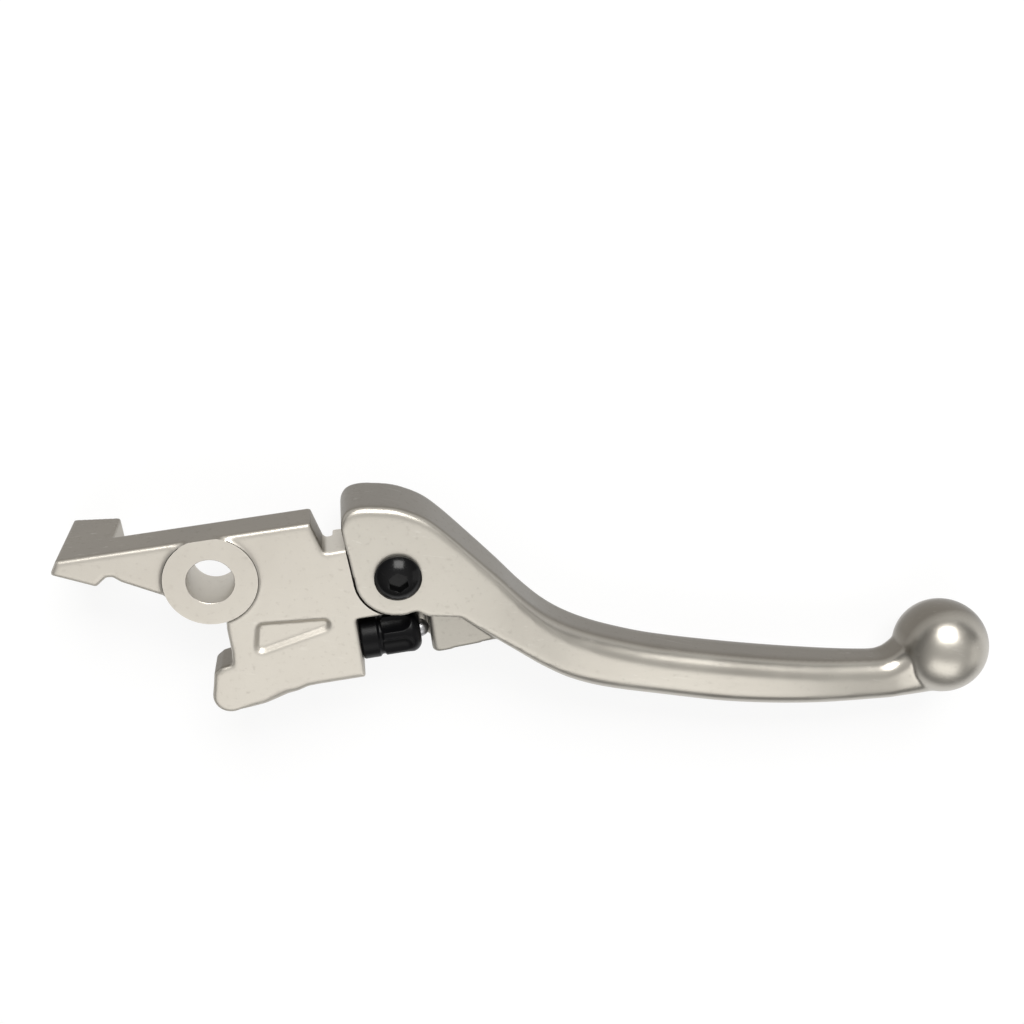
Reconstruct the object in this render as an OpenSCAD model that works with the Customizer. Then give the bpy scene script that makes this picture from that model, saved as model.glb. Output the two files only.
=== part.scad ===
// Motorcycle front brake lever in two pieces, with a screw reach adjuster.
// The origin is the centre of the main pivot bore, half way through the boss.
// +Z runs along the bore, +X along the straight top edge towards the ball end,
// and the handlebar lies on the -Y side.

/* [Main pivot] */
// Diameter of the main pivot bore
bore_d = 10; // [8:0.1:11]
// Diameter of the machined face of the boss at the front
boss_d = 19.8; // [18:0.1:21]
// Diameter of the boss at the back
rear_boss_d = 15; // [13.6:0.1:16]
// Length of the boss along the bore
boss_len = 14; // [12:0.5:15]
// Width of the break at each mouth of the bore
bore_break = 0.2; // [0.1:0.1:0.6]
// Height of the cast collar round the machined face
collar_h = 0.3; // [0.1:0.1:0.6]
// Width of the cast collar at its top
collar_w = 0.8; // [0.4:0.1:1.5]

/* [Base arm] */
// Height of the front face above the middle of the boss
plate_front = 6.7; // [6:0.1:7]
// Thickness of the arm
plate_t = 9.8; // [8.5:0.1:11]
// Radius that rounds the edges of the arm
plate_round = 0.9; // [0.5:0.1:1.2]
// Distance from the bore to the straight top edge
top_edge_y = 9.5; // [8.8:0.1:9.8]
// Distance from the bore to the start of the step at the top
step_x = 22.4; // [20:0.1:23]
// Height of the notch floor over the bore
notch_y = 2.4; // [1.5:0.1:3]
// Distance from the bore to the face behind the adjuster
seat_x = 28.5; // [28:0.1:29]
// Distance from the bore down to the lower edge
lower_y = 28.9; // [28:0.1:30]
// Radius that rounds the lower edge of the arm
lower_round = 1.9; // [1.2:0.1:2.2]
// Radius that rounds the lower edge next to the nose
toe_round = 2.7; // [2:0.1:3]
// Radius that rounds the edges of the seat
seat_round = 0.5; // [0.3:0.1:0.8]
// Radius of the nose that pushes the piston
nose_r = 3.9; // [3.4:0.1:4.2]
// Distance from the bore down to the centre of the nose
nose_y = 28; // [27.4:0.1:28.6]
// Depth of the cast recess in the front face
recess_depth = 1; // [0.4:0.1:1.5]
// Radius of the corners of the cast recess at the face
recess_r = 1.7; // [1.3:0.1:2]
// Run of the sloped walls of the cast recess
recess_slope = 1; // [0.2:0.1:1.1]

/* [Switch foot] */
// Distance from the bore to the outer corner of the foot
foot_x = 29.9; // [28:0.1:32]
// Length of the foot along the arm
foot_len = 10.4; // [8:0.1:11]
// Depth of the foot, front to back
foot_depth = 23.5; // [18:0.5:26]
// How much less deep the foot is on its inner side
foot_slant = 3; // [1:0.5:5]
// How far the tip of the foot reaches past its corner
foot_tip = 1.8; // [1:0.1:2.5]

/* [Blade hinge] */
// Distance from the main bore to the hinge along the arm
hinge_x = 38.8; // [38:0.1:39.5]
// Distance from the main bore down to the hinge
hinge_y = 5.5; // [5:0.1:6]
// Radius of the rounded ears of the blade
ear_r = 9.3; // [9:0.1:9.5]
// Thickness of the front ear
ear_t = 4.1; // [3.6:0.1:4.6]
// Width of the slot between the ears
slot_w = 8.7; // [8.2:0.1:9.4]
// Running gap round the ear and the tongue
ear_gap = 0.3; // [0.2:0.05:0.5]
// Diameter of the hinge bush
bush_d = 8; // [7.6:0.1:8.6]
// Radial running clearance of the hinge bush and the adjuster
run_fit = 0.04; // [0.02:0.01:0.08]
// Gap between each thrust face and its washer
thrust_gap = 0.05; // [0.02:0.01:0.1]
// Thickness of the thrust washer
washer_t = 0.5; // [0.3:0.1:0.8]
// Outer diameter of the thrust washer
washer_d = 15; // [12:0.5:16.5]

/* [Hinge screw] */
// Diameter of the screw shank
screw_d = 6; // [5:0.1:6.4]
// Diameter of the domed head
head_d = 10.2; // [9:0.1:11]
// Height of the head with its dome
head_h = 3.4; // [2.8:0.1:3.8]
// Height of the straight rim of the head
head_rim = 0.9; // [0.4:0.1:1.2]
// Size of the hexagon socket across its flats
socket_af = 4; // [3:0.5:4.5]
// Depth of the hexagon socket
socket_depth = 1.9; // [1.4:0.1:2.1]
// Size of the lock nut across its flats
nut_af = 10; // [9:0.5:10.5]
// Height of the lock nut with its nylon collar
nut_h = 5; // [4.5:0.1:6]
// Depth of the hexagon pocket in the rear ear
pocket_depth = 2.2; // [1.5:0.1:2.6]
// Clearance of the nut in its pocket and of the shank in its holes
screw_gap = 0.1; // [0.05:0.05:0.2]
// Height of the nylon collar of the nut
nylon_h = 1.2; // [0.8:0.1:1.5]

/* [Blade] */
// Height of the front of the blade head above the middle of the boss
blade_front = 7; // [6.8:0.1:7.2]
// Thickness of the blade head
blade_head_t = 16.9; // [16.2:0.1:17.6]
// Width of the finger grip, front to back
grip_w = 13.6; // [12:0.1:15]
// Height of the finger grip in its middle
grip_h = 12.6; // [11:0.1:14]
// Height of the finger grip next to the ball
grip_end_h = 10.8; // [9.5:0.1:11.5]
// Height of the middle of the finger grip above the middle of the boss
grip_z = -2.8; // [-3.6:0.1:-2]
// Radius that rounds the edges of the blade head
head_round = 1.7; // [1:0.1:2]
// Radius that rounds the edges of the finger grip
grip_round = 4.2; // [3:0.1:4.6]
// Radius of the ball end
ball_r = 11.2; // [10:0.1:12]
// Distance from the main bore to the ball along the arm
ball_x = 164.6; // [163:0.1:167]
// Distance from the main bore down to the ball
ball_y = 49.6; // [48.5:0.1:51]

/* [Reach adjuster] */
// Distance from the main bore down to the adjuster axis
adjuster_y = 21.1; // [20.8:0.1:21.4]
// Height of the adjuster axis above the middle of the boss
adjuster_z = 1.2; // [1:0.1:1.5]
// Diameter of the knob
knob_d = 10; // [9.4:0.1:10.4]
// Length of the knob
knob_len = 13.2; // [12:0.1:13.3]
// Gap between the knob and its seat on the arm
knob_gap = 0.15; // [0.1:0.05:0.25]
// Length of the plain collar of the knob
knob_collar = 4.2; // [3:0.1:5]
// Number of flutes and of click positions
flutes = 6; // [4:1:8]
// Depth of each flute
flute_depth = 1; // [0.5:0.1:1.2]
// Radius of the cutter that forms each flute
flute_r = 3.2; // [2.6:0.1:3.6]
// Radius that rounds the free end of the knob
knob_round = 1.8; // [1:0.1:2.4]
// Diameter of the threaded plunger
plunger_d = 4; // [3.6:0.1:4.4]
// Depth of the flat that stops the plunger turning
plunger_flat = 0.6; // [0.4:0.1:0.8]
// Length of the plunger inside the arm
plunger_tail = 8; // [6:0.5:9]
// Gap between the plunger tip and the lug of the blade
tip_gap = 0.12; // [0.08:0.01:0.15]
// Travel of the plunger over all the click positions
plunger_travel = 1.4; // [1.35:0.05:1.6]
// Distance from the main bore to the lug that the plunger pushes
lug_x = 43.9; // [43.85:0.05:44.2]
// Distance from the main bore down to the bottom of the lug
lug_y = 26.3; // [25.5:0.1:26.8]
// How far the heel of the lug reaches behind the knob
heel_len = 2.4; // [1:0.1:3]
// Diameter of the detent ball
detent_d = 2; // [1.6:0.1:2.2]
// Distance from the adjuster axis to the detent ball
detent_r = 3.4; // [3.2:0.1:3.5]
// Depth of the race that the ball runs in
detent_depth = 0.35; // [0.2:0.05:0.5]
// Length of the detent spring
detent_len = 5; // [4:0.1:7]
// Wire diameter of the detent spring
detent_wire = 0.3; // [0.2:0.05:0.4]
// Turns of the detent spring
detent_turns = 6; // [4:1:8]

/* [Take-up spring] */
// Wire diameter of the take-up spring
spring_wire = 1; // [0.8:0.1:1.1]
// Mean diameter of the take-up spring
spring_d = 10.8; // [10.4:0.1:11]
// Turns of the take-up spring
spring_turns = 2.5; // [2:0.5:2.5]
// Length of each leg of the take-up spring
spring_leg = 1.6; // [1:0.1:1.8]
// Clearance round the take-up spring in its pocket
spring_gap = 0.3; // [0.2:0.05:0.4]

/* [Hidden] */

$fn = 64;
cut = 0.5;
cast = [0.76, 0.75, 0.72];
polished = [0.80, 0.79, 0.77];
black = [0.07, 0.07, 0.08];
steel = [0.62, 0.62, 0.64];
nylon = [0.85, 0.86, 0.80];

plate_back = plate_front - plate_t;
boss_half = boss_len / 2;
blade_back = blade_front - blade_head_t;
blade_mid = (blade_front + blade_back) / 2;
head_lean = 0.9;
lean_rise = 11.6;
head_left = hinge_x - ear_r - head_lean;
slot_front = blade_front - ear_t;
slot_back = slot_front - slot_w;
tongue_front = slot_front - washer_t - 2 * thrust_gap;
tongue_back = slot_back + ear_gap;
tongue_r = ear_r - ear_gap / 2;
slot_r = tongue_r + 2 * ear_gap;
seat_top_y = -hinge_y - ear_r + 0.6;
tongue_x = step_x + 3.6;
step_run = 1.7;
seat_cut = 0.9;
foot_draw = 0.05;
nut_out = nut_h - pocket_depth;
screw_end = blade_back - nut_out - 0.4;
nut_fn = 6;
af_to_r = 1 / cos(30);
knob_x = seat_x + knob_gap;
tip_x = lug_x - tip_gap;
spring_height = spring_turns * (spring_wire + 0.05);
spring_pocket_r = spring_d / 2 + spring_wire / 2 + spring_gap;
spring_pocket_depth = spring_height + spring_wire + spring_gap;
detent_x = seat_x + knob_gap + detent_depth - detent_d / 2 - run_fit;
spring_nest = 0.25;
click_depth = 0.2;
flute_turn = 12;
leg_sweep = spring_d / 2 * plunger_travel / (adjuster_y - hinge_y);

// Points on an arc of centre c and radius r from angle a to angle b in n steps
function arc(c, r, a, b, n) =
    [for (i = [0:n]) c + r * [cos(a + (b - a) * i / n), sin(a + (b - a) * i / n)]];

// Unit vector along v
function unit(v) = v / norm(v);

// The outline p drawn inwards by d, for points that run anticlockwise; d may be one value for each point
function inset(p, d) =
    let (n = len(p))
    [for (i = [0:n - 1])
        let (
            u = unit(p[i] - p[(i + n - 1) % n]),
            v = unit(p[(i + 1) % n] - p[i]),
            m = [-u[1], u[0]] + [-v[1], v[0]]
        )
        p[i] + (is_list(d) ? d[i] : d) * m / (1 + u * v)];

// Triangles that join rings of n points, ring by ring
function ring_faces(rings, n) =
    [for (k = [0:rings - 2]) for (i = [0:n - 1]) let (j = (i + 1) % n, a = k * n, b = a + n)
        for (face = [[a + i, b + i, b + j], [a + i, b + j, a + j]]) face];

// Triangles that close the first and the last ring, both shaped like outline p
function end_faces(rings, p) =
    let (n = len(p), ends = fill(p, [for (i = [0:n - 1]) i]), last = (rings - 1) * n)
    concat(ends, [for (e = ends) [last + e[2], last + e[1], last + e[0]]]);

// Twice the area of triangle a b c, positive when it runs anticlockwise
function turn(a, b, c) = (b[0] - a[0]) * (c[1] - a[1]) - (b[1] - a[1]) * (c[0] - a[0]);
function within(q, a, b, c) = turn(a, b, q) >= 0 && turn(b, c, q) >= 0 && turn(c, a, q) >= 0;

function any_within(points, a, b, c) = len([for (q = points) if (within(q, a, b, c)) q]) > 0;

// Place in ids of a corner of outline p that can be cut off as a triangle
function ear(p, ids, i = 0) =
    let (n = len(ids), a = p[ids[(i + n - 1) % n]], b = p[ids[i]], c = p[ids[(i + 1) % n]])
    turn(a, b, c) > 0 && !any_within([for (k = ids) if (p[k] != a && p[k] != b && p[k] != c) p[k]], a, b, c)
    ? i : ear(p, ids, i + 1);

// Triangles that fill outline p, which may be hollow
function fill(p, ids) =
    len(ids) == 3 ? [ids]
    : let (n = len(ids), i = ear(p, ids), rest = [for (k = [0:n - 1]) if (k != i) ids[k]])
    concat([[ids[(i + n - 1) % n], ids[i], ids[(i + 1) % n]]], fill(p, rest));

// A smooth curve through knots [x, y], read at x
function slope(k, i) =
    i == 0 ? (k[1][1] - k[0][1]) / (k[1][0] - k[0][0])
    : i == len(k) - 1 ? (k[i][1] - k[i - 1][1]) / (k[i][0] - k[i - 1][0])
    : (k[i + 1][1] - k[i - 1][1]) / (k[i + 1][0] - k[i - 1][0]);
function span(k, x, i = 0) = i >= len(k) - 2 || x <= k[i + 1][0] ? i : span(k, x, i + 1);
function curve(k, x) =
    let (
        i = span(k, x),
        w = k[i + 1][0] - k[i][0],
        t = (x - k[i][0]) / w
    )
    (2 * pow(t, 3) - 3 * pow(t, 2) + 1) * k[i][1] + (pow(t, 3) - 2 * pow(t, 2) + t) * w * slope(k, i)
    + (3 * pow(t, 2) - 2 * pow(t, 3)) * k[i + 1][1] + (pow(t, 3) - pow(t, 2)) * w * slope(k, i + 1);

// A flat plate on outline p from z0 to z1 with both edges rounded, by one radius for each point
module rounded_plate(p, z0, z1, r) {
    steps = 4;
    n = len(p);
    turns = [for (k = [0:steps]) [sin(90 * k / steps), cos(90 * k / steps)]];
    low = [for (t = turns) let (q = inset(p, r * (1 - t[0])))
        for (i = [0:n - 1]) [q[i][0], q[i][1], z0 + r[i] * (1 - t[1])]];
    high = [for (t = turns) let (q = inset(p, r * (1 - t[1])))
        for (i = [0:n - 1]) [q[i][0], q[i][1], z1 - r[i] * (1 - t[0])]];
    rings = 2 * len(turns);
    polyhedron(concat(low, high), concat(ring_faces(rings, n), end_faces(rings, inset(p, r))));
}

// Outline of the arm in the front view, anticlockwise from the switch foot
function foot_outline() = [
    [-foot_x, top_edge_y],
    [-foot_x - foot_tip, top_edge_y - 2.9],
    [foot_len * 0.65 - foot_x, notch_y],
    [foot_len - 1.3 - foot_x, notch_y + 1.7]];
// Corners of the arm with, as third value, the radius that rounds the edge there
function edged(p, r) = [for (q = p) [q[0], q[1], r]];
function nose_corners() = concat(
    edged(concat(
        [[1.4, -boss_d / 2], [1.1, -12], [1.1, -17.4], [0.7, 7.7 - nose_y], [-1.7, 7.3 - nose_y],
         [-3.5, 6.1 - nose_y], [-4.1, 3.5 - nose_y]],
        arc([-1, -nose_y], nose_r, 170, 290, 9)), plate_round),
    edged([[3.3, -nose_y - 3.8], [6, -nose_y - 3.5]], lower_round),
    edged([[8.6, -nose_y - 3.1], [11.2, -nose_y - 2.3]], toe_round),
    edged([[13.5, -lower_y - 0.8], [15.8, -lower_y - 0.1], [18, -lower_y], [seat_x - seat_cut, -lower_y]],
        lower_round));
function arm_corners() = concat(
    edged(concat(foot_outline(),
        [[foot_len - foot_x, notch_y + 1.6], [-18, notch_y + 0.2], [-10, -2], [-5, -6]]), plate_round),
    nose_corners(),
    edged([[seat_x, seat_cut - lower_y], [seat_x, seat_top_y], [hinge_x, seat_top_y], [hinge_x, notch_y]],
        seat_round),
    edged([[step_x + step_run + 0.6, notch_y], [step_x + step_run, notch_y + 0.6], [step_x, top_edge_y]],
        plate_round));
function arm_outline() = [for (q = arm_corners()) [q[0], q[1]]];

// The foot reaches back from the arm to the brake light switch
module switch_foot() {
    back = plate_front - foot_depth;
    intersection() {
        translate([0, 0, back - cut])
            linear_extrude(foot_depth + cut - 2 * plate_round)
                polygon(inset(concat(foot_outline(),
                    [[foot_len - foot_x, notch_y + 1.6], [foot_len - foot_x, top_edge_y]]), foot_draw));
        translate([0, top_edge_y + 1, 0])
            rotate([90, 0, 0])
                linear_extrude(top_edge_y + 2)
                    polygon([
                        [-foot_x - foot_tip - 1, back],
                        [-foot_x, back],
                        [foot_len - foot_x, back + foot_slant],
                        [foot_len - foot_x, plate_front],
                        [-foot_x - foot_tip - 1, plate_front]]);
    }
}

// The boss is faced at both ends and sits in a low cast collar at the front
module boss() {
    intersection() {
        cylinder(h = boss_half, d = boss_d);
        translate([-boss_d, top_edge_y - 2 * boss_d, -cut])
            cube([2 * boss_d, 2 * boss_d, boss_len]);
    }
    translate([0, 0, -boss_half])
        cylinder(h = boss_half + cut, d = rear_boss_d);
}

module boss_collar() {
    intersection() {
        difference() {
            translate([0, 0, plate_front - cut])
                cylinder(h = boss_half + collar_h - plate_front + cut,
                    r1 = boss_d / 2 + 2.6 * collar_w, r2 = boss_d / 2 + collar_w);
            translate([0, 0, boss_half])
                cylinder(h = boss_len, d = boss_d);
        }
        translate([0, 0, plate_front - cut])
            linear_extrude(boss_len)
                polygon(inset(arm_outline(), plate_round + foot_draw));
    }
}

// The tongue is the part of the arm that lies between the ears of the blade
module tongue() {
    translate([hinge_x, -hinge_y, tongue_back])
        cylinder(h = tongue_front - tongue_back, r = tongue_r);
    translate([0, 0, tongue_back])
        linear_extrude(tongue_front - tongue_back)
            polygon([[tongue_x, seat_top_y], [hinge_x, seat_top_y], [hinge_x, notch_y], [tongue_x, notch_y]]);
}

// Room for the front ear, which lies nearly flush with the arm
module ear_room() {
    translate([hinge_x, -hinge_y, tongue_front])
        cylinder(h = boss_len, r = ear_r + ear_gap);
    translate([0, 0, tongue_front])
        linear_extrude(boss_len)
            polygon([
                [hinge_x - ear_r - ear_gap, -hinge_y],
                [hinge_x + ear_r, -hinge_y],
                [hinge_x + ear_r, top_edge_y],
                [head_left - ear_gap, top_edge_y]]);
}

// Cast recess in the front face, a wedge with round corners
module cast_recess() {
    translate([0, 0, plate_front - recess_depth])
        hull() {
            for (c = [[8.7, -13], [7.7, -17.1], [21.5, -14.2]])
                translate(c)
                    cylinder(h = 2 * recess_depth, r1 = recess_r - recess_slope,
                        r2 = recess_r + recess_slope, $fn = 24);
        }
}

module adjuster_bore() {
    depth = plunger_tail + plunger_travel + cut;
    on_adjuster(seat_x - depth)
        d_rod(plunger_d / 2 + run_fit, depth + cut, plunger_flat - run_fit);
}

// A round rod along +Z with one flat, cut to the given depth
module d_rod(r, h, flat) {
    difference() {
        cylinder(h = h, r = r);
        translate([-2 * r, -r - cut, -cut])
            cube([r + flat, 2 * r + 2 * cut, h + 2 * cut]);
    }
}

module base_arm() {
    color(cast)
        difference() {
            union() {
                tongue();
                switch_foot();
                boss();
                boss_collar();
                rounded_plate(arm_outline(), plate_back, plate_front, [for (q = arm_corners()) q[2]]);
            }
            ear_room();
            cast_recess();
            main_bore();
            translate([hinge_x, -hinge_y, tongue_back - cut])
                cylinder(h = slot_w, r = bush_d / 2 + run_fit);
            translate([hinge_x, -hinge_y, tongue_back - cut])
                cylinder(h = spring_pocket_depth + cut, r = spring_pocket_r);
            translate(spring_leg_place(0, tongue_back + spring_pocket_depth - cut))
                cylinder(h = spring_leg + 2 * cut, r = spring_wire / 2 + spring_gap / 2);
            adjuster_bore();
            detent_bore();
        }
}

module main_bore() {
    translate([0, 0, -boss_len])
        cylinder(h = 2 * boss_len, d = bore_d);
    for (side = [0, 1])
        mirror([0, 0, side])
            translate([0, 0, boss_half - bore_break])
                cylinder(h = bore_break + cut, d1 = bore_d, d2 = bore_d + 2 * (bore_break + cut));
}

module detent_bore() {
    floor_x = detent_x - detent_d / 2 + spring_nest - detent_len;
    on_adjuster(floor_x, detent_r)
        cylinder(h = seat_x - floor_x + cut, d = detent_d + 2 * run_fit);
}

// Upper and lower edge of the blade along the arm, as heights over the main bore
grip_top = [[95, -35.7], [112, -40.9], [130, -45.6], [146, -48.8]];
grip_heights = [grip_h, grip_h, (grip_h + grip_end_h) / 2, grip_end_h];
neck_x = ball_x - ball_r - 2.4;
in_ball_x = ball_x - 0.7 * ball_r;
upper_knots = concat(
    [[head_left, 7.3], [head_left + 0.3, 8.7], [head_left + 0.9, 9.8], [head_left + 2, 10.8], [33, 11.3],
     [36.7, 10.8], [40.6, 9.8], [44.2, 8], [47, 6], [50.2, 2.6], [54.4, -2.6], [61, -11], [65.5, -17], [69.7, -21.8],
     [74, -25.5], [79.4, -28.9], [86, -32.1]],
    grip_top,
    [[neck_x, 0.7 - ball_y], [in_ball_x, 4.6 - ball_y], [ball_x, 6 - ball_y]]);
lower_knots = concat(
    [[58.2, -24.9], [63, -29.8], [68, -34.7], [74, -39.6], [82, -43.8]],
    [for (i = [0:len(grip_top) - 1]) grip_top[i] - [0, grip_heights[i]]],
    [[in_ball_x, 0.2 - ball_y - ball_r], [ball_x, 0.1 - ball_y - ball_r]]);
lug_knots = [[41.6, -14.35], [lug_x, -16], [51, -17.7], [58.2, -24.9]];
ear_end = lug_knots[0][0];
lug_end = lug_knots[3][0];

function upper(x) = curve(upper_knots, x);
function lower(x) =
    x < hinge_x - ear_r ? -hinge_y + lean_rise * (hinge_x - ear_r - x) / head_lean
    : x < ear_end ? -hinge_y - sqrt(max(0, pow(ear_r, 2) - pow(x - hinge_x, 2)))
    : x < lug_end ? lookup(x, lug_knots)
    : curve(lower_knots, x);

// How far the head has turned into the finger grip at x, from 0 to 1
function grip_share(x) = lookup(x, [[50, 0], [58, 0.16], [66, 0.48], [74, 0.8], [82, 0.95], [90, 1]]);
function grip_half(x) =
    lookup(x, [[130, grip_w], [neck_x, grip_w - 2.2], [in_ball_x, grip_w - 1.6], [ball_x, 1.3 * ball_r]]) / 2;
function mid_at(x) = blade_mid + (grip_z - blade_mid) * grip_share(x);
function half_depth(x) = blade_head_t / 2 + (grip_half(x) - blade_head_t / 2) * grip_share(x);
function round_at(x) =
    x < neck_x ? head_round + (grip_round - head_round) * grip_share(x)
    : lookup(x, [[neck_x, grip_round], [in_ball_x, 1.3 * grip_round], [ball_x, 0.64 * ball_r]]);

// Rounded section of the blade at x, as points that run round it
function blade_section(x) =
    let (
        top = upper(x),
        low = lower(x),
        h = half_depth(x),
        r = min(round_at(x), (top - low) / 2.2),
        n = 4,
        corners = [[top - r, h - r], [low + r, h - r], [low + r, r - h], [top - r, r - h]]
    )
    [for (c = [0:3]) for (i = [0:n]) let (a = 90 * (c + i / n))
        [x, corners[c][0] + r * cos(a), mid_at(x) + corners[c][1] + r * sin(a)]];

module blade_body() {
    lug_step = (lug_knots[2][0] - lug_knots[1][0]) / 4;
    run_step = (lug_end - lug_knots[2][0]) / 4;
    stations = concat(
        [for (k = [0, 0.08, 0.3, 0.65]) head_left + head_lean * k],
        [for (a = [0:14:98]) hinge_x - ear_r * cos(a)],
        [ear_end],
        [for (i = [0:3]) lug_knots[1][0] + lug_step * i],
        [for (i = [0:3]) lug_knots[2][0] + run_step * i],
        [for (x = [lug_end:2:84]) x],
        [for (x = [88:6:neck_x - 2]) x],
        [for (i = [0:4]) neck_x + (in_ball_x - neck_x) * i / 4],
        [(in_ball_x + ball_x) / 2, ball_x]);
    sections = [for (x = stations) blade_section(x)];
    front = [for (q = sections[0]) [q[1], q[2]]];
    polyhedron([for (s = sections) for (q = s) q],
        concat(ring_faces(len(sections), len(front)), end_faces(len(sections), front)));
}

// The lug is the low step under the head that the adjuster pushes
module lug() {
    front = blade_front - 2.4;
    back = 2 * blade_mid - front;
    top_y = -ear_r - hinge_y + 2;
    translate([0, 0, back])
        linear_extrude(adjuster_z - knob_d / 2 - ear_gap - back)
            polygon([[lug_x - heel_len, top_y], [lug_x - heel_len, 1.6 - lug_y], [lug_x + 1, -lug_y], [lug_x + 1, top_y]]);
    translate([0, 0, back])
        linear_extrude(front - back)
            polygon([[lug_x, top_y], [lug_x, 0.6 - lug_y], [lug_x + 0.6, -lug_y],
                [lug_end, 0.9 - lug_y], [lug_end + 2, lug_knots[2][1]], [lug_knots[2][0], -hinge_y - ear_r / 2]]);
}

module hinge_slot() {
    translate([hinge_x, -hinge_y, slot_back])
        cylinder(h = slot_w, r = slot_r);
    translate([hinge_x - 2 * ear_r, -hinge_y - 2 * ear_r, slot_back])
        cube([2 * ear_r, 2 * ear_r + slot_r, slot_w]);
}

module lever_blade() {
    color(polished)
        difference() {
            union() {
                blade_body();
                lug();
                translate([ball_x, -ball_y, grip_z])
                    sphere(r = ball_r);
            }
            hinge_slot();
            translate([hinge_x, -hinge_y, blade_back - cut])
                cylinder(h = blade_head_t + 2 * cut, r = screw_d / 2 + screw_gap);
            translate([hinge_x, -hinge_y, blade_back - cut])
                cylinder(h = pocket_depth + cut, r = (nut_af / 2 + screw_gap) * af_to_r, $fn = nut_fn);
            translate(spring_leg_place(spring_turns, slot_back - spring_leg - spring_gap))
                cylinder(h = spring_leg + 2 * cut, r = spring_wire / 2 + leg_sweep + spring_gap / 2);
        }
}

// Domed screw with a hexagon socket
module pivot_screw() {
    dome_h = head_h - head_rim;
    dome_r = (pow(head_d / 2, 2) + pow(dome_h, 2)) / (2 * dome_h);
    half = asin(head_d / 2 / dome_r);
    color(black)
        translate([hinge_x, -hinge_y, blade_front])
            difference() {
                union() {
                    rotate_extrude()
                        polygon(concat([[0, 0], [head_d / 2, 0]],
                            arc([0, head_h - dome_r], dome_r, 90 - half, 90, 16)));
                    translate([0, 0, screw_end - blade_front])
                        cylinder(h = blade_front - screw_end + cut, d = screw_d);
                }
                translate([0, 0, head_h - socket_depth])
                    cylinder(h = socket_depth + cut, r = socket_af / 2 * af_to_r, $fn = nut_fn);
            }
}

// Lock nut in the pocket of the rear ear, with a round collar that holds the nylon ring
module lock_nut() {
    collar_r = nut_af / 2 - 0.5;
    color(steel)
        translate([hinge_x, -hinge_y, blade_back + pocket_depth])
            mirror([0, 0, 1])
                difference() {
                    union() {
                        cylinder(h = nut_h - nylon_h, r = nut_af / 2 * af_to_r, $fn = nut_fn);
                        cylinder(h = nut_h, r = collar_r);
                    }
                    translate([0, 0, -cut])
                        cylinder(h = nut_h + 2 * cut, r = screw_d / 2 + screw_gap / 2);
                    translate([0, 0, nut_h - nylon_h])
                        cylinder(h = nylon_h + cut, r = collar_r - 0.5);
                }
}

module nylon_ring() {
    color(nylon)
        translate([hinge_x, -hinge_y, blade_back + pocket_depth - nut_h])
            tube_ring(screw_d / 2 + screw_gap / 2, nut_af / 2 - 1, nylon_h);
}

// A plain ring along +Z
module tube_ring(inner, outer, h) {
    difference() {
        cylinder(h = h, r = outer);
        translate([0, 0, -cut])
            cylinder(h = h + 2 * cut, r = inner);
    }
}

module hinge_bush() {
    color(steel)
        translate([hinge_x, -hinge_y, slot_back])
            tube_ring(screw_d / 2 + screw_gap / 2, bush_d / 2, slot_w);
}

module thrust_washer() {
    color(steel)
        translate([hinge_x, -hinge_y, tongue_front + thrust_gap])
            tube_ring(bush_d / 2 + 2 * run_fit, washer_d / 2, washer_t);
}

// Place of the take-up spring wire after a number of turns, at height z
function spring_leg_place(turns, z) =
    [hinge_x + spring_d / 2 * cos(360 * turns), -hinge_y + spring_d / 2 * sin(360 * turns), z];

// A wire of radius r along a path, with one spoke direction for each point
module wire(path, spokes, r, sides) {
    n = len(path);
    rings = [for (i = [0:n - 1])
        let (
            t = unit(path[min(i + 1, n - 1)] - path[max(i - 1, 0)]),
            side = unit(cross(t, spokes[i])),
            spoke = unit(cross(side, t))
        )
        [for (k = [0:sides - 1]) path[i] + r * (cos(360 * k / sides) * spoke + sin(360 * k / sides) * side)]];
    round_end = arc([0, 0], r, 0, 360 - 360 / sides, sides - 1);
    polyhedron([for (ring = rings) for (q = ring) q], concat(ring_faces(n, sides), end_faces(n, round_end)));
}

module take_up_spring() {
    steps = 14;
    top = tongue_back + spring_pocket_depth - spring_wire / 2 - spring_gap / 2;
    coil = [for (i = [0:steps * spring_turns])
        spring_leg_place(i / steps, top - spring_height * i / (steps * spring_turns))];
    path = concat(
        [spring_leg_place(0, top + spring_leg), spring_leg_place(0, top + spring_wire / 2)],
        [for (i = [1:len(coil) - 2]) coil[i]],
        [spring_leg_place(spring_turns, top - spring_height - spring_wire / 2),
         spring_leg_place(spring_turns, slot_back - spring_leg)]);
    color(steel)
        wire(path, [for (q = path) [q[0] - hinge_x, q[1] + hinge_y, 0]], spring_wire / 2, 8);
}

// Places its children on the adjuster axis, with +Z of the child along the arm
module on_adjuster(x, drop = 0) {
    translate([x, -adjuster_y - drop, adjuster_z])
        rotate([0, 90, 0])
            children();
}

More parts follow.
